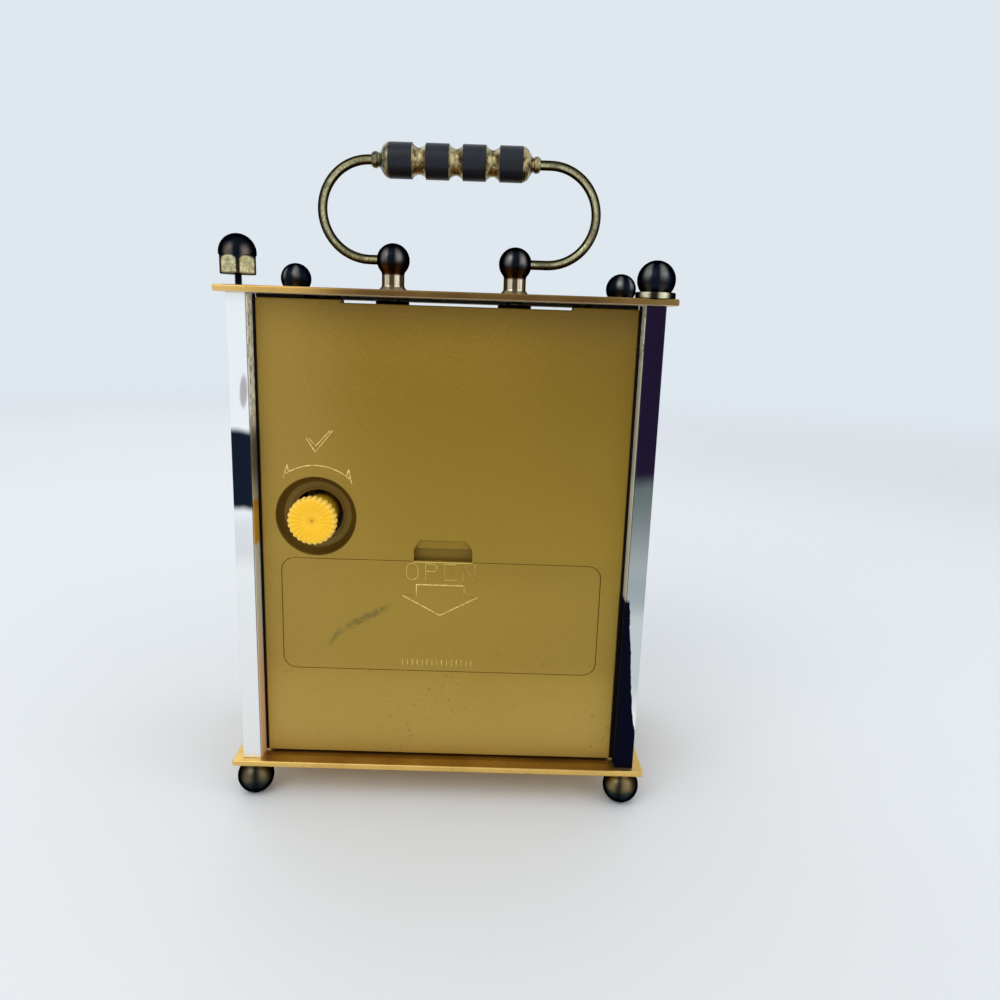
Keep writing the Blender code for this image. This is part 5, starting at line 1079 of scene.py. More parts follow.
def copies(name, mesh, count, centre, finish, step=(0, 0, 0), turn=(0, 0, 0)):
    """A plain mesh of the copies that the tree makes of one mesh round its own origin."""
    tree = copies_tree()
    pattern = bpy.data.objects.new("pattern", mesh)
    host = bpy.data.objects.new("copies", bpy.data.meshes.new("copies"))
    for made in (pattern, host):
        bpy.context.scene.collection.objects.link(made)
    copying = host.modifiers.new("copies", "NODES")
    copying.node_group = tree
    names = {item.name: item.identifier for item in tree.interface.items_tree if item.in_out == "INPUT"}
    values = {
        "Piece": pattern,
        "Count": count,
        "Step": step,
        "Turn": turn,
        "Centre": tuple(centre),
        "Finish": finish,
    }
    for socket, value in values.items():
        copying[names[socket]] = value
    result = evaluated_mesh(host)
    result.name = name
    for old in (host, pattern):
        used = old.data
        bpy.data.objects.remove(old, do_unlink=True)
        bpy.data.meshes.remove(used)
    return result


def seat(name, mesh, finish, body, slot, *nodes, sharp=35):
    """Shows the mesh as a piece that rides on a body and stands for CAD nodes."""
    if name in bpy.data.objects:
        raise RuntimeError(f"{name} is there already")
    piece = bpy.data.objects.new(name, mesh)
    bpy.context.scene.collection.objects.link(piece)
    mesh.materials.clear()
    mesh.materials.append(finish)
    mesh.shade_smooth()
    mesh.set_sharp_from_angle(angle=math.radians(sharp))
    flatten = piece.modifiers.new("even_shading", "WEIGHTED_NORMAL")
    flatten.keep_sharp = True
    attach(piece, body)
    if nodes:
        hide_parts(*nodes)
    return piece


def dress(finish, *nodes):
    """Gives a finish to CAD nodes that stay as they are."""
    for node in nodes:
        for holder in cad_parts[node].material_slots:
            holder.material = finish


def named_finish(name, make, *arguments):
    """A finish made once and then shared."""
    found = bpy.data.materials.get(name)
    return found if found is not None else make(*arguments)


# Pieces


def make_stage(looks):
    """The pale floor, the lamps, the light from all round and the camera."""
    floor = bpy.data.objects.new("floor", slab("floor", [circle(4.0, sides=96)], 0.02, 0, (0, 0, -0.01)))
    bpy.context.scene.collection.objects.link(floor)
    finish = Finish("pale_floor", Specular_IOR_Level=0.2, Roughness=0.8)
    finish.set(Base_Color=finish.tint(finish.patches(0.12, 2) * 0.25, looks.floor, "e3e9ef"))
    far = finish.node("ShaderNodeVectorMath", {"operation": "LENGTH"}, {0: finish.place}, 1).between(0.3, 1.3)
    clear = finish.node("ShaderNodeBsdfTransparent")
    fade = finish.node(
        "ShaderNodeMixShader", (), {0: far, 1: Wired(finish, finish.shader.outputs[0]), 2: clear}
    )
    finish.tree.links.new(fade.socket, finish.output.inputs["Surface"])
    floor.data.materials.append(finish.material)

    world = bpy.data.worlds.new("pale_room")
    world.use_nodes = True
    tree = world.node_tree
    tree.nodes.clear()
    path = tree.nodes.new("ShaderNodeLightPath")
    seen = tree.nodes.new("ShaderNodeMath")
    seen.operation = "ADD"
    shown = tree.nodes.new("ShaderNodeMath")
    shown.operation = "ADD"
    shown.use_clamp = True
    sky = tree.nodes.new("ShaderNodeBackground")
    sky.inputs["Strength"].default_value = looks.sky
    backdrop = tree.nodes.new("ShaderNodeBackground")
    backdrop.inputs["Color"].default_value = (*looks.backdrop, 1)
    mixed = tree.nodes.new("ShaderNodeMixShader")
    output = tree.nodes.new("ShaderNodeOutputWorld")
    for source, target in (
        (path.outputs["Is Camera Ray"], seen.inputs[0]),
        (path.outputs["Is Glossy Ray"], seen.inputs[1]),
        (seen.outputs[0], shown.inputs[0]),
        (path.outputs["Is Transmission Ray"], shown.inputs[1]),
        (shown.outputs[0], mixed.inputs[0]),
        (sky.outputs[0], mixed.inputs[1]),
        (backdrop.outputs[0], mixed.inputs[2]),
        (mixed.outputs[0], output.inputs[0]),
    ):
        tree.links.new(source, target)
    bpy.context.scene.world = world

    for name, power, size, place in (
        ("key_lamp", looks.key, 0.5, (0.35, 0.55, 0.65)),
        ("fill_lamp", looks.fill, 0.6, (-0.6, 0.35, 0.35)),
        ("front_lamp", looks.fill, 0.6, (0.3, -0.6, 0.5)),
    ):
        light = bpy.data.lights.new(name, "AREA")
        light.energy = power
        light.size = size
        lamp = bpy.data.objects.new(name, light)
        aim = Vector((0, 0, 0.07)) - Vector(place)
        lamp.matrix_world = Matrix.Translation(place) @ aim.to_track_quat("-Z", "Y").to_matrix().to_4x4()
        bpy.context.scene.collection.objects.link(lamp)
    place_camera()
    bpy.context.scene.view_settings.view_transform = "Standard"


def place_camera():
    """Behind the clock, a little above it and turned by the photograph's tilt."""
    data = bpy.data.cameras.new("camera")
    data.sensor_width = 36
    data.lens = 804.847 * data.sensor_width / 1000
    data.clip_start = 0.005
    data.clip_end = 20
    camera = bpy.data.objects.new("camera", data)
    down, turn, roll = (math.radians(angle) for angle in (12.475, -0.588, 1.915))
    ahead = Vector((math.sin(turn) * math.cos(down), -math.cos(turn) * math.cos(down), -math.sin(down)))
    right = ahead.cross(Vector((0, 0, 1))).normalized()
    up = right.cross(ahead)
    across = right * math.cos(roll) + up * math.sin(roll)
    upward = up * math.cos(roll) - right * math.sin(roll)
    axes = Matrix((across, upward, -ahead)).transposed().to_4x4()
    camera.matrix_world = Matrix.Translation(Vector((-10.668, 198.585, 111.272)) * MM) @ axes
    bpy.context.scene.collection.objects.link(camera)
    bpy.context.scene.camera = camera


def make_plates(looks):
    """Both plates, with their rod, post and screw holes."""
    rods = [middle_of(f"{corner}_column") for corner in CORNERS]
    for name, low, high in (("base_plate", BASE_LOW, BASE_HIGH), ("top_plate", TOP_LOW, TOP_HIGH)):
        outlines = [box_outline(low.x, low.y, high.x, high.y, 0.5 * MM)]
        outlines += [circle(1.0 * MM, (rod.x, rod.y), 24) for rod in rods]
        if name == "top_plate":
            posts = [middle_of(f"{side}_handle_post") for side in ("left", "right")]
            outlines += [circle(1.7 * MM, (post.x, post.y), 24) for post in posts]
        else:
            screws = [middle_of(f"case_screw_{side}") for side in ("left", "right")]
            outlines += [circle(1.4 * MM, (screw.x, screw.y), 24) for screw in screws]
        mesh = slab(name, outlines, high.z - low.z, looks.edge, (0, 0, (low.z + high.z) / 2))
        finish = plate_finish(f"{name}_brass", looks, name == "top_plate")
        seat(f"{name}_rounded", mesh, finish, "frame", "brass_plate", name)


def make_columns(looks):
    """Square tubes with soft corners, and the rod with its threads in each."""
    steel = metal_finish("blackened_rod", tone("24262b"), tone("101114"), 0.3)
    for corner in CORNERS:
        low, high = (Vector(spot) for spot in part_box(f"{corner}_column"))
        centre = (low + high) / 2
        half = (high.x - low.x) / 2
        bore = half - 0.6 * MM
        outlines = [
            box_outline(-half, -half, half, half, 0.3 * MM), box_outline(-bore, -bore, bore, bore, 0.2 * MM)
        ]
        length = TOP_LOW.z - BASE_HIGH.z - 0.04 * MM
        mesh = slab(
            f"{corner}_tube", outlines, length, 0.12 * MM, (centre.x, centre.y, (TOP_LOW.z + BASE_HIGH.z) / 2)
        )
        seat(f"{corner}_tube", mesh, column_finish(corner, looks), "frame", "gilt_column", f"{corner}_column")
        rod_low, rod_high = (spot[2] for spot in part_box(f"{corner}_tie_rod"))
        profile = [(0, rod_low), (0.7 * MM, rod_low)]
        profile += threads(rod_low + 0.2 * MM, BASE_LOW.z, 0.4 * MM)
        profile += threads(TOP_HIGH.z - 1.5 * MM, rod_high - 0.3 * MM, 0.4 * MM)
        profile += [(0.6 * MM, rod_high), (0, rod_high)]
        rod = lathe(f"{corner}_rod", profile, (centre.x, centre.y, 0), sides=20)
        seat(f"{corner}_rod", rod, steel, "frame", "black_steel", f"{corner}_tie_rod", sharp=50)


def threads(low, high, pitch):
    """The crests and roots of a thread, as rings."""
    count = int((high - low) / pitch)
    points = [(0.8 * MM, low)]
    for turn in range(count):
        start = low + turn * pitch
        points += [
            (0.66 * MM, start + pitch / 4), (0.66 * MM, start + pitch / 2), (0.8 * MM, start + pitch * 3 / 4)
        ]
    return points + [(0.8 * MM, high)]


def make_finials(looks):
    """Ball feet, ball nuts, and the cap nut that stands raised on its rod."""
    for corner in CORNERS:
        column = middle_of(f"{corner}_column")
        foot_top = BASE_LOW.z - 0.02 * MM
        radius = 4.2 * MM
        flat = 1.2 * MM
        low_angle = -math.degrees(math.acos(flat / radius))
        centre = -radius * math.sin(math.radians(low_angle))
        neck = 2.6 * MM
        neck_angle = math.degrees(math.acos(neck / radius))
        neck_low = centre + radius * math.sin(math.radians(neck_angle))
        profile = [(0, foot_top - 3.7 * MM), (1.0 * MM, foot_top - 3.7 * MM), (1.0 * MM, foot_top)]
        profile += eased(
            [
                (1.0 * MM, foot_top, 0),
                (neck + 0.25 * MM, foot_top, 0.1 * MM),
                (neck + 0.15 * MM, neck_low, 0),
            ],
            False,
        )[1:-1]
        profile += arc(radius, centre, neck_angle - 3, low_angle + 3, 28) + [(flat - 0.1 * MM, 0), (0, 0)]
        foot = lathe(f"{corner}_ball_foot", profile, (column.x, column.y, 0))
        bronze = named_finish("foot_bronze", foot_finish, looks)
        seat(f"{corner}_ball_foot", foot, bronze, "frame", "bronzed_brass", f"{corner}_foot", sharp=45)
        if corner == "rear_right":
            make_cap_nut(column, looks)
        else:
            make_ball_nut(corner, column, looks)


def make_ball_nut(corner, column, looks):
    low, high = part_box(f"{corner}_ball_nut")
    base = TOP_HIGH.z + 0.02 * MM
    radius = 4.0 * MM
    centre = high[2] - radius
    ring_high = low[2] + 1.05 * MM
    ring_angle = -math.degrees(math.asin((centre - ring_high) / radius))
    foot = (radius * math.cos(math.radians(ring_angle)), ring_high)
    profile = [(0, high[2])] + arc(radius, centre, 87, ring_angle, 28)
    profile += eased(
        [
            (*foot, 0),
            (4.2 * MM, ring_high - 0.05 * MM, 0.25 * MM),
            (4.2 * MM, base, 0.2 * MM),
            (1.0 * MM, base, 0),
        ],
        False,
    )[1:]
    profile += [(1.0 * MM, base + 6 * MM), (0, base + 6 * MM)]
    nut = lathe(f"{corner}_ball", profile, (column.x, column.y, 0))
    bronze = named_finish("ball_nut_bronze", ball_finish, looks)
    seat(f"{corner}_ball", nut, bronze, "frame", "bronzed_brass", f"{corner}_ball_nut", sharp=45)


def make_cap_nut(column, looks):
    """A hexagon with chamfered corners under a dome."""
    low, high = (spot[2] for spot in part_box("rear_right_cap_nut"))
    hex_height = 4.3 * MM
    flats = slab(
        "cap_nut_flats",
        [hexagon(7.2 * MM, 0.25 * MM, NUT_TURN)],
        hex_height,
        0.12 * MM,
        (column.x, column.y, low + hex_height / 2),
    )
    corner = 7.2 / math.sqrt(3) * MM
    turned = [(0, low), (corner - 0.5 * MM, low), (corner + 0.05 * MM, low + 0.35 * MM)]
    turned += [(corner + 0.05 * MM, low + hex_height - 1.0 * MM), (3.55 * MM, low + hex_height)]
    turned += [(0, low + hex_height)]
    chamfer = lathe("cap_nut_chamfer", turned, (column.x, column.y, 0), sides=72)
    radius = 3.85 * MM
    centre = high - radius
    dome = [(0, high)] + arc(radius, centre, 87, 0, 26)
    dome += [
        (radius - 0.02 * MM, low + hex_height - 0.4 * MM),
        (radius - 0.5 * MM, low + 3.3 * MM),
        (0, low + 3.3 * MM),
    ]
    bore = [(0, low - 1 * MM), (1.0 * MM, low - 1 * MM), (1.0 * MM, high - 1.2 * MM), (0, high - 1.2 * MM)]
    nut = carved(
        flats,
        ("INTERSECT", chamfer),
        ("UNION", lathe("cap_nut_dome", dome, (column.x, column.y, 0), sides=72)),
        ("DIFFERENCE", lathe("cap_nut_bore", bore, (column.x, column.y, 0), sides=24)),
    )
    seat("cap_nut", nut, cap_nut_finish(looks), "cap_nut", "gear_brass", "rear_right_cap_nut", sharp=28)


def make_handle(looks, finials):
    """Posts, their nuts, the wire bent into two bows, and the grip with its bands."""
    black = metal_finish("blackened_nut", tone("1b1c20"), tone("0c0c0e"), 0.35)
    for side, sign in (("left", -1), ("right", 1)):
        low, high = (Vector(spot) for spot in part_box(f"{side}_handle_post"))
        centre = (low + high) / 2
        base = TOP_HIGH.z + 0.02 * MM
        neck_angle = -math.degrees(math.acos(2.65 / 3.9))
        neck_high = PIVOT_Z + 3.9 * MM * math.sin(math.radians(neck_angle))
        profile = [(0, PIVOT_Z + 3.9 * MM)] + arc(3.9 * MM, PIVOT_Z, 87, neck_angle + 6, 30)
        profile += eased(
            [
                (2.85 * MM, neck_high + 0.2 * MM, 0),
                (2.65 * MM, neck_high - 0.3 * MM, 0.5 * MM),
                (2.65 * MM, base + 1.6 * MM, 0.7 * MM),
                (3.4 * MM, base + 0.75 * MM, 0.2 * MM),
                (3.4 * MM, base, 0.1 * MM),
                (1.5 * MM, base, 0),
                (1.5 * MM, low.z, 0.2 * MM),
                (0, low.z, 0),
            ],
            False,
        )
        start = centre.x + sign * 0.6 * MM
        bore = [(0, 0), (1.3 * MM, 0), (1.3 * MM, sign * 5 * MM), (0, sign * 5 * MM)]
        post = carved(
            lathe(f"{side}_post", profile, (centre.x, 0, 0)),
            ("DIFFERENCE", lathe("post_bore", bore, (start, 0, PIVOT_Z), "X", 32)),
        )
        seat(
            f"{side}_post",
            post,
            post_finish(side, finials),
            "frame",
            "bronzed_brass",
            f"{side}_handle_post",
            sharp=45,
        )
        nut_low, nut_high = (Vector(spot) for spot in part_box(f"{side}_post_nut"))
        middle = (nut_low + nut_high) / 2
        nut = slab(
            f"{side}_nut",
            [hexagon(7 * MM, 0.2 * MM), circle(1.7 * MM, sides=24)],
            nut_high.z - nut_low.z,
            0.2 * MM,
            middle,
        )
        seat(f"{side}_nut", nut, black, "frame", "black_steel", f"{side}_post_nut")
    route = bow(-1, 21.9 * MM) + bow(1, 19.9 * MM)[::-1]
    wire = bar("handle_bows", route, 1.1 * MM, 24, rounded=False)
    seat("handle_bows", wire, wire_finish(looks), "handle", "antique_wire", "handle_wire", sharp=60)
    make_grip(looks)


def bow(sign, centre):
    """One side of the wire, from its end in the ball round the bow to the middle of the grip."""
    rise = (GRIP_AT.z - PIVOT_Z) / 2
    points = [(sign * 15.5 * MM, 0, PIVOT_Z), (sign * 18 * MM, 0, PIVOT_Z)]
    for step in range(41):
        angle = -math.pi / 2 + math.pi * step / 40
        points.append((sign * (centre + rise * math.cos(angle)), 0, PIVOT_Z + rise * (1 + math.sin(angle))))
    return points


def make_grip(looks):
    """A turned core with shallow grooves, and a black band on each thick part."""
    half_band = looks.band_length / 2
    radius = 3.9 * MM
    end = (looks.bands - 1) / 2 * looks.band_pitch + 2.6 * MM
    right = []
    for number in range(looks.bands):
        middle = (number - (looks.bands - 1) / 2) * looks.band_pitch
        right += [(middle - 2.6 * MM, radius), (middle + 2.6 * MM, radius)]
        if number < looks.bands - 1:
            groove = middle + looks.band_pitch / 2
            half = (looks.band_pitch - 5.2 * MM) / 2
            for step in range(1, 12):
                share = step / 6 - 1
                right.append((groove + share * half, radius - 1.0 * MM * (1 - share**2)))
    ending = [
        (end + 0.5 * MM, 3.86 * MM, 0.6 * MM),
        (end + 1.3 * MM, 3.25 * MM, 0.8 * MM),
        (end + 2.2 * MM, 1.75 * MM, 0.35 * MM),
        (end + 2.5 * MM, 1.55 * MM, 0.2 * MM),
        (end + 2.9 * MM, 1.85 * MM, 0.25 * MM),
        (end + 3.6 * MM, 1.85 * MM, 0.3 * MM),
        (end + 4.1 * MM, 1.5 * MM, 0),
    ]
    tail = eased([(end, radius, 0)] + ending, False)[1:]
    line = [(-x, r) for x, r in reversed(tail)] + right + tail
    bore = 1.4 * MM
    profile = [(bore, line[0][0])] + [(r, x) for x, r in line] + [(bore, line[-1][0])]
    core = lathe("grip_core", profile, GRIP_AT, "X", 64, closed=True)
    seat("grip_core", core, grip_finish(looks), "grip", "grip_gilt", "handle_grip", sharp=40)
    section = eased(
        [
            (3.85 * MM, -half_band, 0),
            (4.0 * MM, -half_band, 0.12 * MM),
            (4.0 * MM, half_band, 0.12 * MM),
            (3.85 * MM, half_band, 0),
        ],
        False,
    )
    band = lathe("grip_band", section, (0, 0, 0), "X", 64, closed=True)
    first = -(looks.bands - 1) / 2 * looks.band_pitch
    lacquer = band_finish()
    bands = copies(
        "grip_bands",
        band,
        looks.bands,
        GRIP_AT + Vector((first, 0, 0)),
        lacquer,
        step=(looks.band_pitch, 0, 0),
    )
    seat("grip_bands", bands, lacquer, "grip", "black_steel", sharp=40)


def padded_outline(low, high, low_pad, high_pad, recess, edge):
    """A box whose top lies lower between two end pads."""
    return eased(
        [
            (low.x, low.z, edge),
            (high.x, low.z, edge),
            (high.x, high.z, edge),
            (high.x - high_pad, high.z, edge),
            (high.x - high_pad, high.z - recess, 0),
            (low.x + low_pad, high.z - recess, 0),
            (low.x + low_pad, high.z, edge),
            (low.x, high.z, edge),
        ]
    )


def case_ring(name, low, high, front, back, wall, pad, recess, edge):
    """The case's sides. Its top lies lower between two end pads."""
    inner_high = high.z - recess - wall
    outline = padded_outline(low, high, pad, pad, recess, edge)
    hollow = box_outline(low.x + wall, low.z + wall, high.x - wall, inner_high)
    return slab(name, [outline, hollow], back - front, 0, (0, (front + back) / 2, 0), FACE_FRONT)


def make_case(looks):
    """Both halves of the case: rounded edges, the knob's well and the finger notch."""
    paint = named_finish("gold_case_paint", paint_finish, looks)
    wall = 2 * MM
    pad = 10.4 * MM
    recess = 3 * MM
    edge = looks.edge
    cover_low, cover_high = (Vector(spot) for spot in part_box("battery_cover"))
    cover_low.z = BASE_HIGH.z + COVER_LOW
    gap = 0.3 * MM
    seen_gap = 0.06 * MM
    opening = box_outline(
        cover_low.x - seen_gap,
        cover_low.z - seen_gap,
        cover_high.x + seen_gap,
        cover_high.z + seen_gap,
        2.9 * MM + seen_gap,
    )
    well = circle(9.0 * MM, (KNOB_AT.x, KNOB_AT.z), 96)
    panel_outline = padded_outline(CASE_LOW, CASE_HIGH, 14.2 * MM, 18.2 * MM, 0.6 * MM, edge)
    panel = slab(
        "rear_panel",
        [panel_outline, opening, well],
        wall,
        edge,
        (0, CASE_BACK - wall / 2, 0),
        FACE_FRONT,
        hole_edge=0.12 * MM,
    )
    ring = case_ring(
        "rear_sides", CASE_LOW, CASE_HIGH, CASE_LOW.y, CASE_BACK - wall / 2, wall, pad, recess, edge
    )
    notch_top = cover_high.z + gap + 4.75 * MM
    pocket = block(
        "notch_pocket",
        (-7.8 * MM, CASE_BACK - 5.6 * MM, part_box("battery_tray")[1][2] + 0.1 * MM),
        (7.8 * MM, CASE_BACK - 1.75 * MM, notch_top + 0.6 * MM),
    )
    tongues = []
    grooves = []
    room = Vector((0.05, 0.05, 0.05)) * MM
    for sign in (-1, 1):
        inner, outer = sorted((sign * (CASE_HIGH.x - 1.5 * MM), sign * (CASE_HIGH.x - 0.7 * MM)))
        tongue_low = Vector((inner, FRONT_HIGH.y - 1 * MM, FRONT_LOW.z + 1.2 * MM))
        tongue_high = Vector((outer, CASE_LOW.y + 1 * MM, FRONT_HIGH.z - 1.2 * MM))
        tongues.append(("UNION", block("tongue", tongue_low, tongue_high)))
        grooves.append(("DIFFERENCE", block("groove", tongue_low - room, tongue_high + room)))
    rear = carved(
        panel,
        ("UNION", ring),
        ("UNION", pocket),
        ("DIFFERENCE", notch_tool(cover_high.z, notch_top)),
        *grooves,
    )
    seat("case_rear_shell", rear, paint, "frame", "gold_paint", "case_rear", sharp=32)
    seat("knob_well", well_mesh(), paint, "frame", "gold_paint", sharp=40)

    border = 7.8 * MM
    window = box_outline(
        FRONT_LOW.x + border, FRONT_LOW.z + border, FRONT_HIGH.x - border, FRONT_HIGH.z - border, 0.8 * MM
    )
    outline = box_outline(FRONT_LOW.x, FRONT_LOW.z, FRONT_HIGH.x, FRONT_HIGH.z, edge)
    front_panel = slab(
        "front_panel", [outline, window], wall, 0.5 * MM, (0, FRONT_LOW.y + wall / 2, 0), FACE_FRONT
    )
    sides = case_ring(
        "front_sides", FRONT_LOW, FRONT_HIGH, FRONT_LOW.y + wall / 2, FRONT_HIGH.y, wall, pad, recess, edge
    )
    front = carved(front_panel, ("UNION", sides), *tongues)
    seat("case_front_shell", front, paint, "frame", "gold_paint", "case_front", sharp=32)
    dress(paint, "battery_tray")
    # Black strips that stand for the shade in the gaps at the pads and columns.
    make_foam(pad)
    screw = metal_finish("zinc_screw", tone("b9b9bb"), tone("6d6d70"), 0.25)
    for side in ("left", "right"):
        make_case_screw(side, screw)


def make_foam(pad):
    """Thin black strips on the case's end pads, and up its sides against the columns, that stand for the
    shade in these gaps as painted shade.
    """
    strips = []
    top = (CASE_HIGH.z + 0.02 * MM, TOP_LOW.z - 0.05 * MM)
    column_side = abs(middle_of("rear_left_column").x) - 2.2 * MM
    for sign in (-1, 1):
        left, right = sorted((sign * (CASE_HIGH.x - 0.15 * MM), sign * (CASE_HIGH.x - pad + 0.15 * MM)))
        for front, back in ((9.2 * MM, CASE_BACK - 0.4 * MM), (FRONT_LOW.y + 0.6 * MM, -10 * MM)):
            strips.append(block("pad", (left, front, top[0]), (right, back, top[1])))
        left, right = sorted((sign * (CASE_HIGH.x + 0.02 * MM), sign * (column_side - 0.04 * MM)))
        for back in (CASE_BACK - 0.25 * MM, FRONT_LOW.y + 0.75 * MM):
            strips.append(block("strip", (left, back - 0.5 * MM, CASE_LOW.z), (right, back, top[1])))
    seat("foam_strips", together("foam_strips", *strips), foam_finish(), "frame", "black_steel", sharp=40)


def notch_tool(cover_top, top):
    """The room of the finger notch. Its upper side runs in on a slope."""
    shape = bmesh.new()
    rings = []
    for depth, drop in ((-1, 0), (0, 0), (0.3, 0.25), (0.7, 1.2), (1.1, 2.2), (1.9, 2.5), (2.7, 2.6)):
        shoulder = top - (2.15 + drop / 3) * MM
        outline = eased(
            [
                (-6.63 * MM, cover_top - 5 * MM, 0),
                (6.63 * MM, cover_top - 5 * MM, 0),
                (6.63 * MM, shoulder, 0.7 * MM),
                ((5.2 + drop / 3) * MM, top - drop * MM, 0.25 * MM),
                (-(5.2 + drop / 3) * MM, top - drop * MM, 0.25 * MM),
                (-6.63 * MM, shoulder, 0.7 * MM),
            ],
            steps=8,
        )
        rings.append([shape.verts.new((x, CASE_BACK - depth * MM, z)) for x, z in outline])
    for first, second in zip(rings, rings[1:]):
        for step in range(len(first)):
            after = (step + 1) % len(first)
            shape.faces.new((first[step], first[after], second[after], second[step]))
    shape.faces.new(rings[0])
    shape.faces.new(rings[-1][::-1])
    return kept(shape, "finger_notch")


def well_mesh():
    """The dished wall and floor of the knob's well, with a stepped hole."""
    back = CASE_BACK
    profile = eased(
        [
            (8.9 * MM, back - 0.32 * MM, 0),
            (7.66 * MM, back - 2.4 * MM, 0.5 * MM),
            (6.23 * MM, back - 2.4 * MM, 0.1 * MM),
            (6.13 * MM, back - 2.62 * MM, 0.1 * MM),
            (5.6 * MM, back - 2.62 * MM, 0.12 * MM),
            (5.6 * MM, back - 3.8 * MM, 0),
            (9.4 * MM, back - 3.8 * MM, 0.2 * MM),
            (9.4 * MM, back - 0.7 * MM, 0),
        ]
    )
    return lathe("knob_well", profile, (KNOB_AT.x, 0, KNOB_AT.z), "Y", 96, closed=True)


def make_case_screw(side, finish):
    """A pan head with a cross slot, under the base plate."""
    low, high = (Vector(spot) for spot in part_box(f"case_screw_{side}"))
    centre = (low + high) / 2
    head_top = low.z + 1.2 * MM
    profile = eased(
        [
            (0, low.z, 0),
            (2.3 * MM, low.z, 0.5 * MM),
            (2.3 * MM, head_top, 0.1 * MM),
            (1.2 * MM, head_top, 0),
            (1.2 * MM, high.z - 0.6 * MM, 0),
            (0.7 * MM, high.z, 0),
            (0, high.z, 0),
        ],
        False,
    )
    body = lathe(f"case_screw_{side}_head", profile, (centre.x, centre.y, 0), sides=40)
    half, depth = 1.3 * MM, 0.6 * MM
    slots = []
    for across, along in ((0.22 * MM, half), (half, 0.22 * MM)):
        corner = Vector((across, along, depth))
        middle = Vector((centre.x, centre.y, low.z))
        slots.append(("DIFFERENCE", block("slot", middle - corner, middle + corner)))
    seat(
        f"case_screw_{side}_head", carved(body, *slots), finish, "frame", "bright_steel", f"case_screw_{side}"
    )


def make_cover(looks):
    """The battery cover with its tabs, latch and raised marks."""
    paint = named_finish("gold_case_paint", paint_finish, looks)
    low, high = (Vector(spot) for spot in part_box("battery_cover"))
    hinge_z = BASE_HIGH.z + COVER_LOW
    centre_x = (low.x + high.x) / 2
    outline = box_outline(low.x, hinge_z, high.x, high.z, 2.9 * MM)
    thickness = 1.6 * MM
    parts = [
        slab("cover_plate", [outline], thickness, 0.25 * MM, (0, CASE_BACK - thickness / 2, 0), FACE_FRONT)
    ]
    outer = CASE_BACK - 2.2 * MM
    for sign in (-1, 1):
        middle = centre_x + sign * 23 * MM
        parts.append(
            block(
                "tab",
                (middle - 3 * MM, outer - 1.8 * MM, low.z),
                (middle + 3 * MM, outer, hinge_z + 2.5 * MM),
                0.2 * MM,
            )
        )
        parts.append(
            block(
                "web",
                (middle - 3 * MM, outer - 0.9 * MM, hinge_z + 0.8 * MM),
                (middle + 3 * MM, CASE_BACK - 0.8 * MM, hinge_z + 2.4 * MM),
            )
        )
    latch_high = BASE_HIGH.z + 45.77 * MM
    parts.append(
        block(
            "latch",
            (centre_x - 4 * MM, outer - 2.4 * MM, latch_high - 1 * MM),
            (centre_x + 4 * MM, CASE_BACK - 0.8 * MM, latch_high),
            0.2 * MM,
        )
    )
    seat(
        "cover_plate",
        together("cover_plate", *parts),
        paint,
        "cover",
        "gold_paint",
        "battery_cover",
        sharp=32,
    )
    bright = named_finish("gold_mark_paint", mark_finish)
    marks = together("cover_marks", *cover_marks(looks, bright))
    seat("cover_marks", marks, bright, "cover", "gold_paint", sharp=60)


def stroke(points, radius, closed=False):
    """A raised line, half sunk in the case's back. Points are (x, height above the base plate) in mm."""
    spots = [(x * MM, CASE_BACK - 0.02 * MM, BASE_HIGH.z + z * MM) for x, z in points]
    if closed:
        spots = spots + spots[:2]
    return bar("mark", spots, radius, 8)


def cover_marks(looks, finish):
    """The word OPEN and the outline of an arrow that points down, and a row of small ribs."""
    left, width, pitch = 8.185, 2.57, 4.3
    low, high = 43.86, 47.62
    waist = (low + high) / 2 + 0.1
    letters = (
        eased([(0, low, 1.1), (width, low, 1.1), (width, high, 1.1), (0, high, 1.1)]),
        [(0, low), (0, high)] + eased(
            [(0, high, 0), (width, high, 0.9), (width, waist, 0.9), (0, waist, 0)], False
        ),
        [(width, low), (0, low), (0, waist), (width * 0.8, waist), (0, waist), (0, high), (width, high)],
        [(0, low), (0, high), (width, low), (width, high)],
    )
    marks = []
    for number, points in enumerate(letters):
        start = left - number * pitch
        marks.append(stroke([(start - x, z) for x, z in points], looks.mark, closed=number == 0))
    centre = 0.493
    outline = ((5.44, 42.63), (5.44, 40.15), (8.7, 40.0), (0, 35.36))
    right = [(centre - x, z) for x, z in reversed(outline[:3])]
    marks.append(stroke([(centre + x, z) for x, z in outline] + right, looks.mark, closed=True))
    rib = bar("rib", [(0, 0, -0.7 * MM), (0, 0, 0.7 * MM)], 0.1 * MM, 6)
    start = Vector((8.98 * MM, CASE_BACK - 0.04 * MM, BASE_HIGH.z + 23.69 * MM))
    marks.append(copies("ribs", rib, 15, start, finish, step=(-1.137 * MM, 0, 0)))
    return marks


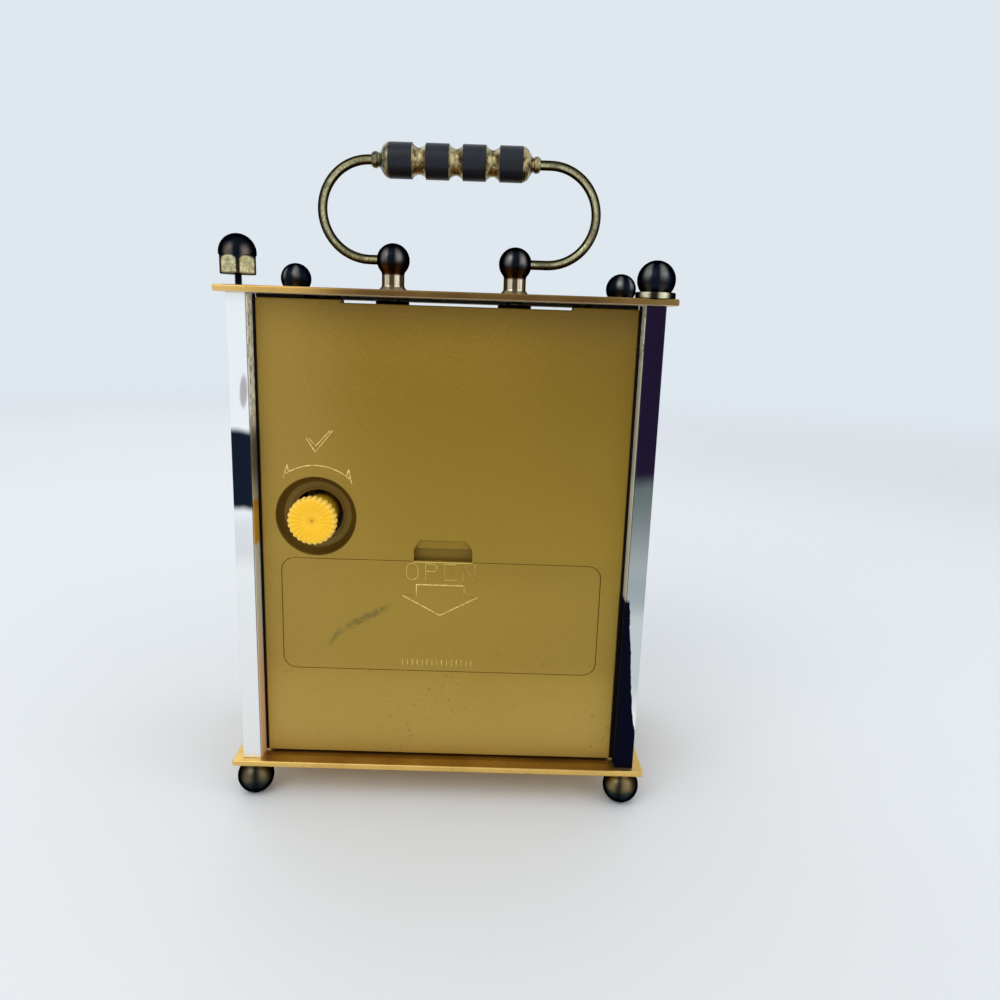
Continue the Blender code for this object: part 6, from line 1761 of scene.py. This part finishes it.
def make_case_marks(looks):
    """The turning arrow over the knob's well and the tick above it."""
    centre_x = KNOB_AT.x / MM
    centre_z = (KNOB_AT.z - BASE_HIGH.z) / MM
    radius = 11.57

    def on_arc(degrees, out=0.0):
        angle = math.radians(degrees)
        return (centre_x + (radius + out) * math.sin(angle), centre_z + (radius + out) * math.cos(angle))

    marks = [stroke([on_arc(angle) for angle in range(36, -43, -3)], looks.mark)]
    for tip, back in ((40, 27), (-46, -33)):
        marks.append(stroke([on_arc(back + (tip - back) * 0.1, 1.5), on_arc(tip, -0.4)], looks.mark))
        marks.append(
            stroke(
                [on_arc(back + (tip - back) * 0.1, 1.5), on_arc(back + (tip - back) * 0.25, 0.1)], looks.mark
            )
        )
    tick = ((30.33, 75.4), (28.51, 72.48), (24.5, 77.38), (25.04, 77.43), (28.34, 73.82), (29.79, 75.45))
    marks.append(stroke(tick, looks.mark, closed=True))
    seat(
        "case_marks",
        together("case_marks", *marks),
        named_finish("gold_mark_paint", mark_finish),
        "frame",
        "gold_paint",
        sharp=60,
    )


def make_knob(looks):
    """The fluted knob: its head, dished face, flutes that run in over the face, and its neck."""
    low, high = (Vector(spot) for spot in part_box("set_knob"))
    face = high.y
    head = 2.8 * MM
    neck = 4.1 * MM
    core = KNOB_RADIUS - looks.flute * 0.75
    profile = [
        (0, face - 0.75 * MM),
        (0.5 * MM, face - 0.72 * MM),
        (1.0 * MM, face - 0.5 * MM),
        (2.4 * MM, face - 0.32 * MM),
        (3.6 * MM, face - 0.22 * MM),
        (core - 0.4 * MM, face - 0.25 * MM),
        (core - 0.1 * MM, face - 0.4 * MM),
        (core, face - 0.8 * MM),
        (core, face - head + 0.3 * MM),
        (core - 0.3 * MM, face - head),
        (neck, face - head),
        (neck, low.y),
        (1.1 * MM, low.y),
        (1.1 * MM, low.y + 6.3 * MM),
        (0, low.y + 6.3 * MM),
    ]
    body = lathe("knob_body", profile, (KNOB_AT.x, 0, KNOB_AT.z), "Y", 96)
    wide = looks.flute
    out = KNOB_RADIUS - wide
    route = [
        (2.3 * MM, -0.33 * MM),
        (3.2 * MM, -0.30 * MM),
        (4.2 * MM, -0.42 * MM),
        (out - 0.1 * MM, -0.62 * MM),
        (out, -0.95 * MM),
        (out, -head + 0.7 * MM),
    ]
    radii = [0.08 * MM, 0.24 * MM, 0.40 * MM, wide * 0.95, wide, wide]
    flute = bar("flute", [(x, y, 0) for x, y in route], radii, 10)
    finish = knob_finish(looks)
    flutes = copies(
        "knob_flutes",
        flute,
        looks.flutes,
        (KNOB_AT.x, face, KNOB_AT.z),
        finish,
        turn=(0, 2 * math.pi / looks.flutes, 0),
    )
    seat("knob_body", body, finish, "knob", "knob_yellow", "set_knob", sharp=40)
    seat("knob_flutes", flutes, finish, "knob", "knob_yellow", sharp=60)


def make_dial(looks):
    """The dial with its numerals and track, the gilt surround, the hands, their nut and the glass."""
    low, high = (Vector(spot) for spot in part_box("dial"))
    middle = (low + high) / 2
    outline = box_outline(low.x, low.z, high.x, high.z, 0.5 * MM)
    sheet = slab(
        "dial_sheet",
        [outline, circle(3.5 * MM, (0, DIAL_Z))],
        high.y - low.y,
        0.1 * MM,
        (0, middle.y, 0),
        FACE_FRONT,
    )
    seat("dial_sheet", sheet, dial_finish(looks), "frame", "dial_white", "dial")

    surround_low, surround_high = (Vector(spot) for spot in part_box("dial_surround"))
    outline = box_outline(surround_low.x, surround_low.z, surround_high.x, surround_high.z, 0.5 * MM)
    plate = slab(
        "surround",
        [outline, circle(29.5 * MM, (0, DIAL_Z), 128)],
        surround_high.y - surround_low.y,
        0.1 * MM,
        (0, (surround_low.y + surround_high.y) / 2, 0),
        FACE_FRONT,
    )
    front = surround_low.y
    bezel = eased(
        [
            (29.3 * MM, front + 0.45 * MM, 0),
            (29.3 * MM, front - 0.3 * MM, 0.2 * MM),
            (30.2 * MM, front - 1.0 * MM, 0.35 * MM),
            (31.3 * MM, front - 0.9 * MM, 0.35 * MM),
            (31.9 * MM, front + 0.1 * MM, 0),
            (31.9 * MM, front + 0.45 * MM, 0),
        ]
    )
    ring = lathe("bezel", bezel, (0, 0, DIAL_Z), "Y", 160, closed=True)
    inner = box_outline(-30.6 * MM, surround_low.z + 6.3 * MM, 30.6 * MM, surround_high.z - 6.3 * MM, 3 * MM)
    border = bar(
        "border",
        [(x, front, z) for x, z in inner] + [(inner[0][0], front, inner[0][1])],
        0.22 * MM,
        8,
    )
    gilt = surround_finish()
    seat(
        "dial_frame",
        together("dial_frame", plate, ring, border),
        gilt,
        "frame",
        "dial_gilt",
        "dial_surround",
        sharp=40,
    )
    make_print(looks, low.y)
    make_hands()
    brass = named_finish("turned_brass", metal_finish, "turned_brass", tone("d2ad62"), tone("8d6a2f"), 0.22)
    nut_low, nut_high = (Vector(spot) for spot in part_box("centre_nut"))
    profile = eased(
        [
            (0.85 * MM, nut_low.y, 0),
            (1.5 * MM, nut_low.y, 0.3 * MM),
            (1.8 * MM, nut_high.y, 0.1 * MM),
            (0.85 * MM, nut_high.y, 0),
        ]
    )
    nut = lathe("hand_nut", profile, (0, 0, DIAL_Z), "Y", 32, closed=True)
    seat("hand_nut", nut, brass, "minute_group", "gear_brass", "centre_nut")
    bush_low, bush_high = (Vector(spot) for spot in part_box("bush_nut"))
    hex_nut = slab(
        "bush_hexagon",
        [hexagon(9 * MM, 0.3 * MM), circle(3.5 * MM, sides=32)],
        bush_high.y - bush_low.y,
        0.15 * MM,
        (0, (bush_low.y + bush_high.y) / 2, DIAL_Z),
        FACE_FRONT,
    )
    seat("bush_hexagon", hex_nut, brass, "frame", "gear_brass", "bush_nut")
    dress(glass_finish(), "glass")


def make_print(looks, front):
    """Numerals one to twelve, and a minute track with longer hour marks."""
    ink = plastic_finish("dial_ink", looks.print_colour, looks.print_colour, 0.35)
    thickness = 0.02 * MM
    meshes = []
    for hour in range(1, 13):
        text = bpy.data.curves.new("numeral", "FONT")
        text.body = str(hour)
        text.size = looks.numeral
        text.align_x = "CENTER"
        text.align_y = "CENTER"
        text.extrude = thickness
        holder = bpy.data.objects.new("numeral", text)
        bpy.context.scene.collection.objects.link(holder)
        mesh = evaluated_mesh(holder)
        bpy.data.objects.remove(holder, do_unlink=True)
        angle = math.pi / 6 * hour
        spot = (
            looks.numeral_radius * math.sin(angle), front, DIAL_Z + looks.numeral_radius * math.cos(angle)
        )
        mesh.transform(Matrix.Translation(spot) @ FACE_FRONT)
        shape = bmesh.new()
        shape.from_mesh(mesh)
        bpy.data.meshes.remove(mesh)
        meshes.append(kept(shape, "numeral"))
    for count, length, width in ((60, 1.0 * MM, 0.16 * MM), (12, 2.0 * MM, 0.5 * MM)):
        mark = slab(
            "track_mark",
            [box_outline(-width / 2, looks.track - length / 2, width / 2, looks.track + length / 2)],
            thickness * 2,
            0,
            (0, 0, 0),
            FACE_FRONT,
        )
        meshes.append(
            copies("track_marks", mark, count, (0, front, DIAL_Z), ink, turn=(0, 2 * math.pi / count, 0))
        )
    for radius in (looks.track - 0.6 * MM, looks.track + 0.6 * MM):
        section = [
            (radius - 0.06 * MM, -thickness),
            (radius + 0.06 * MM, -thickness),
            (radius + 0.06 * MM, thickness),
            (radius - 0.06 * MM, thickness),
        ]
        meshes.append(lathe("track_line", section, (0, front, DIAL_Z), "Y", 128, closed=True))
    seat("dial_print", together("dial_print", *meshes), ink, "frame", "black_steel", sharp=30)


def make_hands():
    """Spade hands in blackened steel at nine minutes past ten."""
    steel = metal_finish("blued_hand", tone("16171d"), tone("08080b"), 0.2)
    hour_turn = math.radians(30 * (10 + 9 / 60))
    minute_turn = math.radians(6 * 9)
    for name, body, length, width, bore, turn in (
        ("hour_hand", "hour_group", 17.0 * MM, 3.4 * MM, 1.8 * MM, hour_turn),
        ("minute_hand", "minute_group", 24.5 * MM, 2.8 * MM, 1.0 * MM, minute_turn),
    ):
        low, high = (Vector(spot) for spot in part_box(name))
        outlines = [hand_outline(length, width), circle(bore, sides=32)]
        turned = FACE_FRONT @ Matrix.Rotation(-turn, 4, "Z")
        mesh = slab(
            f"{name}_blade", outlines, high.y - low.y, 0.06 * MM, (0, (low.y + high.y) / 2, DIAL_Z), turned
        )
        seat(f"{name}_blade", mesh, steel, body, "black_steel", name)


def hand_outline(length, width):
    """A hub, a shank that narrows, a leaf with hollow shoulders and a fine point."""
    half = width / 2
    hub = 3.2 * MM
    side = (
        (0.46, 0.20),
        (0.52, 0.26),
        (0.56, 0.48),
        (0.60, 0.78),
        (0.64, 0.95),
        (0.68, 1.00),
        (0.72, 0.92),
        (0.76, 0.70),
        (0.80, 0.48),
        (0.85, 0.28),
        (0.92, 0.14),
    )
    shank = half * 0.24
    start = math.asin(shank / hub)
    points = []
    for step in range(33):
        angle = math.pi / 2 + start + (2 * math.pi - 2 * start) * step / 32
        points.append((hub * math.cos(angle), hub * math.sin(angle)))
    right = [(half * across, length * along) for along, across in side]
    return points + right + [(0, length)] + [(-x, z) for x, z in reversed(right)]


def make_movement():
    """Finishes for the wheels, plates, screws, motor and board, which keep their CAD shapes."""
    brass = named_finish("turned_brass", metal_finish, "turned_brass", tone("d2ad62"), tone("8d6a2f"), 0.22)
    steel = metal_finish("bright_turned_steel", tone("c4c5c8"), tone("77787c"), 0.2)
    dress(
        plastic_finish("movement_milk_plastic", tone("e9e8e0"), tone("d8d6cb")),
        "mounting_plate",
        "movement_rear_plate",
    )
    dress(
        plastic_finish("wheel_ivory_plastic", tone("f0e9d2"), tone("dccfa8")),
        "third_wheel",
        "second_wheel",
        "intermediate_wheel",
        "minute_wheel",
        "setting_wheel",
        "hour_wheel",
    )
    dress(brass, "centre_wheel")
    dress(steel, "rotor", "minute_arbor", "setting_stem", "stator", "mount_screw_left", "mount_screw_right")
    dress(winding_finish(), "coil")
    dress(board_finish(), "circuit_board")


def make_battery():
    """The cell, its spring and contact, and the two leads."""
    low, high = (Vector(spot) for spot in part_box("battery_cell"))
    centre = (low + high) / 2
    radius = (high.y - low.y) / 2
    end = high.x - 1 * MM
    profile = eased(
        [
            (0, low.x, 0),
            (radius - 1.2 * MM, low.x, 0.1 * MM),
            (radius - 1.0 * MM, low.x + 0.25 * MM, 0.1 * MM),
            (radius, low.x + 0.25 * MM, 0.35 * MM),
            (radius, end, 0.6 * MM),
            (radius - 1.4 * MM, end, 0.1 * MM),
            (radius - 1.6 * MM, end - 0.2 * MM, 0.1 * MM),
            (3.2 * MM, end - 0.2 * MM, 0.1 * MM),
            (2.9 * MM, end, 0.1 * MM),
            (2.75 * MM, high.x, 0.3 * MM),
            (0, high.x, 0),
        ],
        False,
    )
    cell = lathe("cell", profile, (0, centre.y, centre.z), "X", 64)
    seat("cell", cell, cell_finish(), "frame", "cell_jacket", "battery_cell")

    spring_low, spring_high = (Vector(spot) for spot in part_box("negative_spring"))
    wire = 0.35 * MM
    start, finish = spring_low.x + wire, spring_high.x - wire
    turns, per_turn = 4, 36
    route = []
    for step in range(turns * per_turn + 1):
        share = step / (turns * per_turn)
        angle = 2 * math.pi * step / per_turn
        wide = (4.8 - 2.0 * share) * MM
        along = start + (finish - start) * share
        route.append((along, centre.y + wide * math.cos(angle), centre.z + wide * math.sin(angle)))
    steel = metal_finish("spring_wire_steel", tone("c9c8c4"), tone("85837d"), 0.2)
    seat(
        "spring_coil",
        bar("spring_coil", route, wire, 10),
        steel,
        "frame",
        "bright_steel",
        "negative_spring",
        sharp=60,
    )
    dress(steel, "positive_contact")
    for name, colour in (("negative_lead", tone("15151a")), ("positive_lead", tone("a3201c"))):
        dress(plastic_finish(f"{name}_cover", colour, tone("2a1a1c")), name)


# Operators and panel


class StageOperator(bpy.types.Operator):
    """Add the pale floor, the lamps and the camera"""

    bl_idname = "desk_clock.stage"
    bl_label = "Stage"
    bl_options = {"UNDO"}

    def execute(self, context):
        make_stage(context.scene.clock_stage)
        return {"FINISHED"}


class PlatesOperator(bpy.types.Operator):
    """Build the base plate and the top plate"""

    bl_idname = "desk_clock.plates"
    bl_label = "Plates"
    bl_options = {"UNDO"}

    def execute(self, context):
        make_plates(context.scene.clock_plates)
        return {"FINISHED"}


class ColumnsOperator(bpy.types.Operator):
    """Build the four square columns and their tie rods"""

    bl_idname = "desk_clock.columns"
    bl_label = "Columns and rods"
    bl_options = {"UNDO"}

    def execute(self, context):
        make_columns(context.scene.clock_columns)
        return {"FINISHED"}


class FinialsOperator(bpy.types.Operator):
    """Build the feet, the ball nuts and the cap nut"""

    bl_idname = "desk_clock.finials"
    bl_label = "Feet and nuts"
    bl_options = {"UNDO"}

    def execute(self, context):
        make_finials(context.scene.clock_finials)
        return {"FINISHED"}


class HandleOperator(bpy.types.Operator):
    """Build the posts, the wire and the grip with its bands"""

    bl_idname = "desk_clock.handle"
    bl_label = "Handle"
    bl_options = {"UNDO"}

    def execute(self, context):
        make_handle(context.scene.clock_handle, context.scene.clock_finials)
        return {"FINISHED"}


class CaseOperator(bpy.types.Operator):
    """Build both halves of the case and the marks over the knob"""

    bl_idname = "desk_clock.case"
    bl_label = "Case"
    bl_options = {"UNDO"}

    def execute(self, context):
        make_case(context.scene.clock_case)
        make_case_marks(context.scene.clock_case)
        return {"FINISHED"}


class CoverOperator(bpy.types.Operator):
    """Build the battery cover with its raised marks"""

    bl_idname = "desk_clock.cover"
    bl_label = "Battery cover"
    bl_options = {"UNDO"}

    def execute(self, context):
        make_cover(context.scene.clock_case)
        return {"FINISHED"}


class KnobOperator(bpy.types.Operator):
    """Build the fluted knob"""

    bl_idname = "desk_clock.knob"
    bl_label = "Knob"
    bl_options = {"UNDO"}

    def execute(self, context):
        make_knob(context.scene.clock_knob)
        return {"FINISHED"}


class DialOperator(bpy.types.Operator):
    """Build the dial, its surround, the hands and the glass"""

    bl_idname = "desk_clock.dial"
    bl_label = "Dial and hands"
    bl_options = {"UNDO"}

    def execute(self, context):
        make_dial(context.scene.clock_dial)
        return {"FINISHED"}


class MovementOperator(bpy.types.Operator):
    """Finish the wheels, plates and motor of the movement"""

    bl_idname = "desk_clock.movement"
    bl_label = "Movement"
    bl_options = {"UNDO"}

    def execute(self, context):
        make_movement()
        return {"FINISHED"}


class BatteryOperator(bpy.types.Operator):
    """Build the cell, its spring and its leads"""

    bl_idname = "desk_clock.battery"
    bl_label = "Battery"
    bl_options = {"UNDO"}

    def execute(self, context):
        make_battery()
        return {"FINISHED"}


class DeskClockPanel(bpy.types.Panel):
    """The clock's pieces and what can be changed on them"""

    bl_idname = "VIEW3D_PT_desk_clock"
    bl_label = "Desk clock"
    bl_space_type = "VIEW_3D"
    bl_region_type = "UI"
    bl_category = "Desk clock"

    def draw(self, context):
        for operator, holder in BUILDERS:
            column = self.layout.column(align=True)
            column.operator(operator.bl_idname)
            if holder is None:
                continue
            looks = getattr(context.scene, holder)
            for name in looks.__annotations__:
                column.prop(looks, name)


LOOKS = {
    "clock_stage": StageLooks,
    "clock_plates": PlateLooks,
    "clock_columns": ColumnLooks,
    "clock_finials": FinialLooks,
    "clock_handle": HandleLooks,
    "clock_case": CaseLooks,
    "clock_knob": KnobLooks,
    "clock_dial": DialLooks,
}

BUILDERS = (
    (StageOperator, "clock_stage"),
    (PlatesOperator, "clock_plates"),
    (ColumnsOperator, "clock_columns"),
    (FinialsOperator, "clock_finials"),
    (HandleOperator, "clock_handle"),
    (CaseOperator, "clock_case"),
    (CoverOperator, None),
    (KnobOperator, "clock_knob"),
    (DialOperator, "clock_dial"),
    (MovementOperator, None),
    (BatteryOperator, None),
)

CLASSES = (*LOOKS.values(), *(operator for operator, _ in BUILDERS), DeskClockPanel)


def register():
    for part in CLASSES:
        bpy.utils.register_class(part)
    for name, group in LOOKS.items():
        setattr(bpy.types.Scene, name, bpy.props.PointerProperty(type=group))


def unregister():
    for name in LOOKS:
        delattr(bpy.types.Scene, name)
    for part in reversed(CLASSES):
        bpy.utils.unregister_class(part)


def main():
    register()
    bpy.ops.desk_clock.stage()
    bpy.ops.desk_clock.plates()
    bpy.ops.desk_clock.columns()
    bpy.ops.desk_clock.finials()
    bpy.ops.desk_clock.handle()
    bpy.ops.desk_clock.case()
    bpy.ops.desk_clock.cover()
    bpy.ops.desk_clock.knob()
    bpy.ops.desk_clock.dial()
    bpy.ops.desk_clock.movement()
    bpy.ops.desk_clock.battery()


if __name__ == "__main__":
    main()
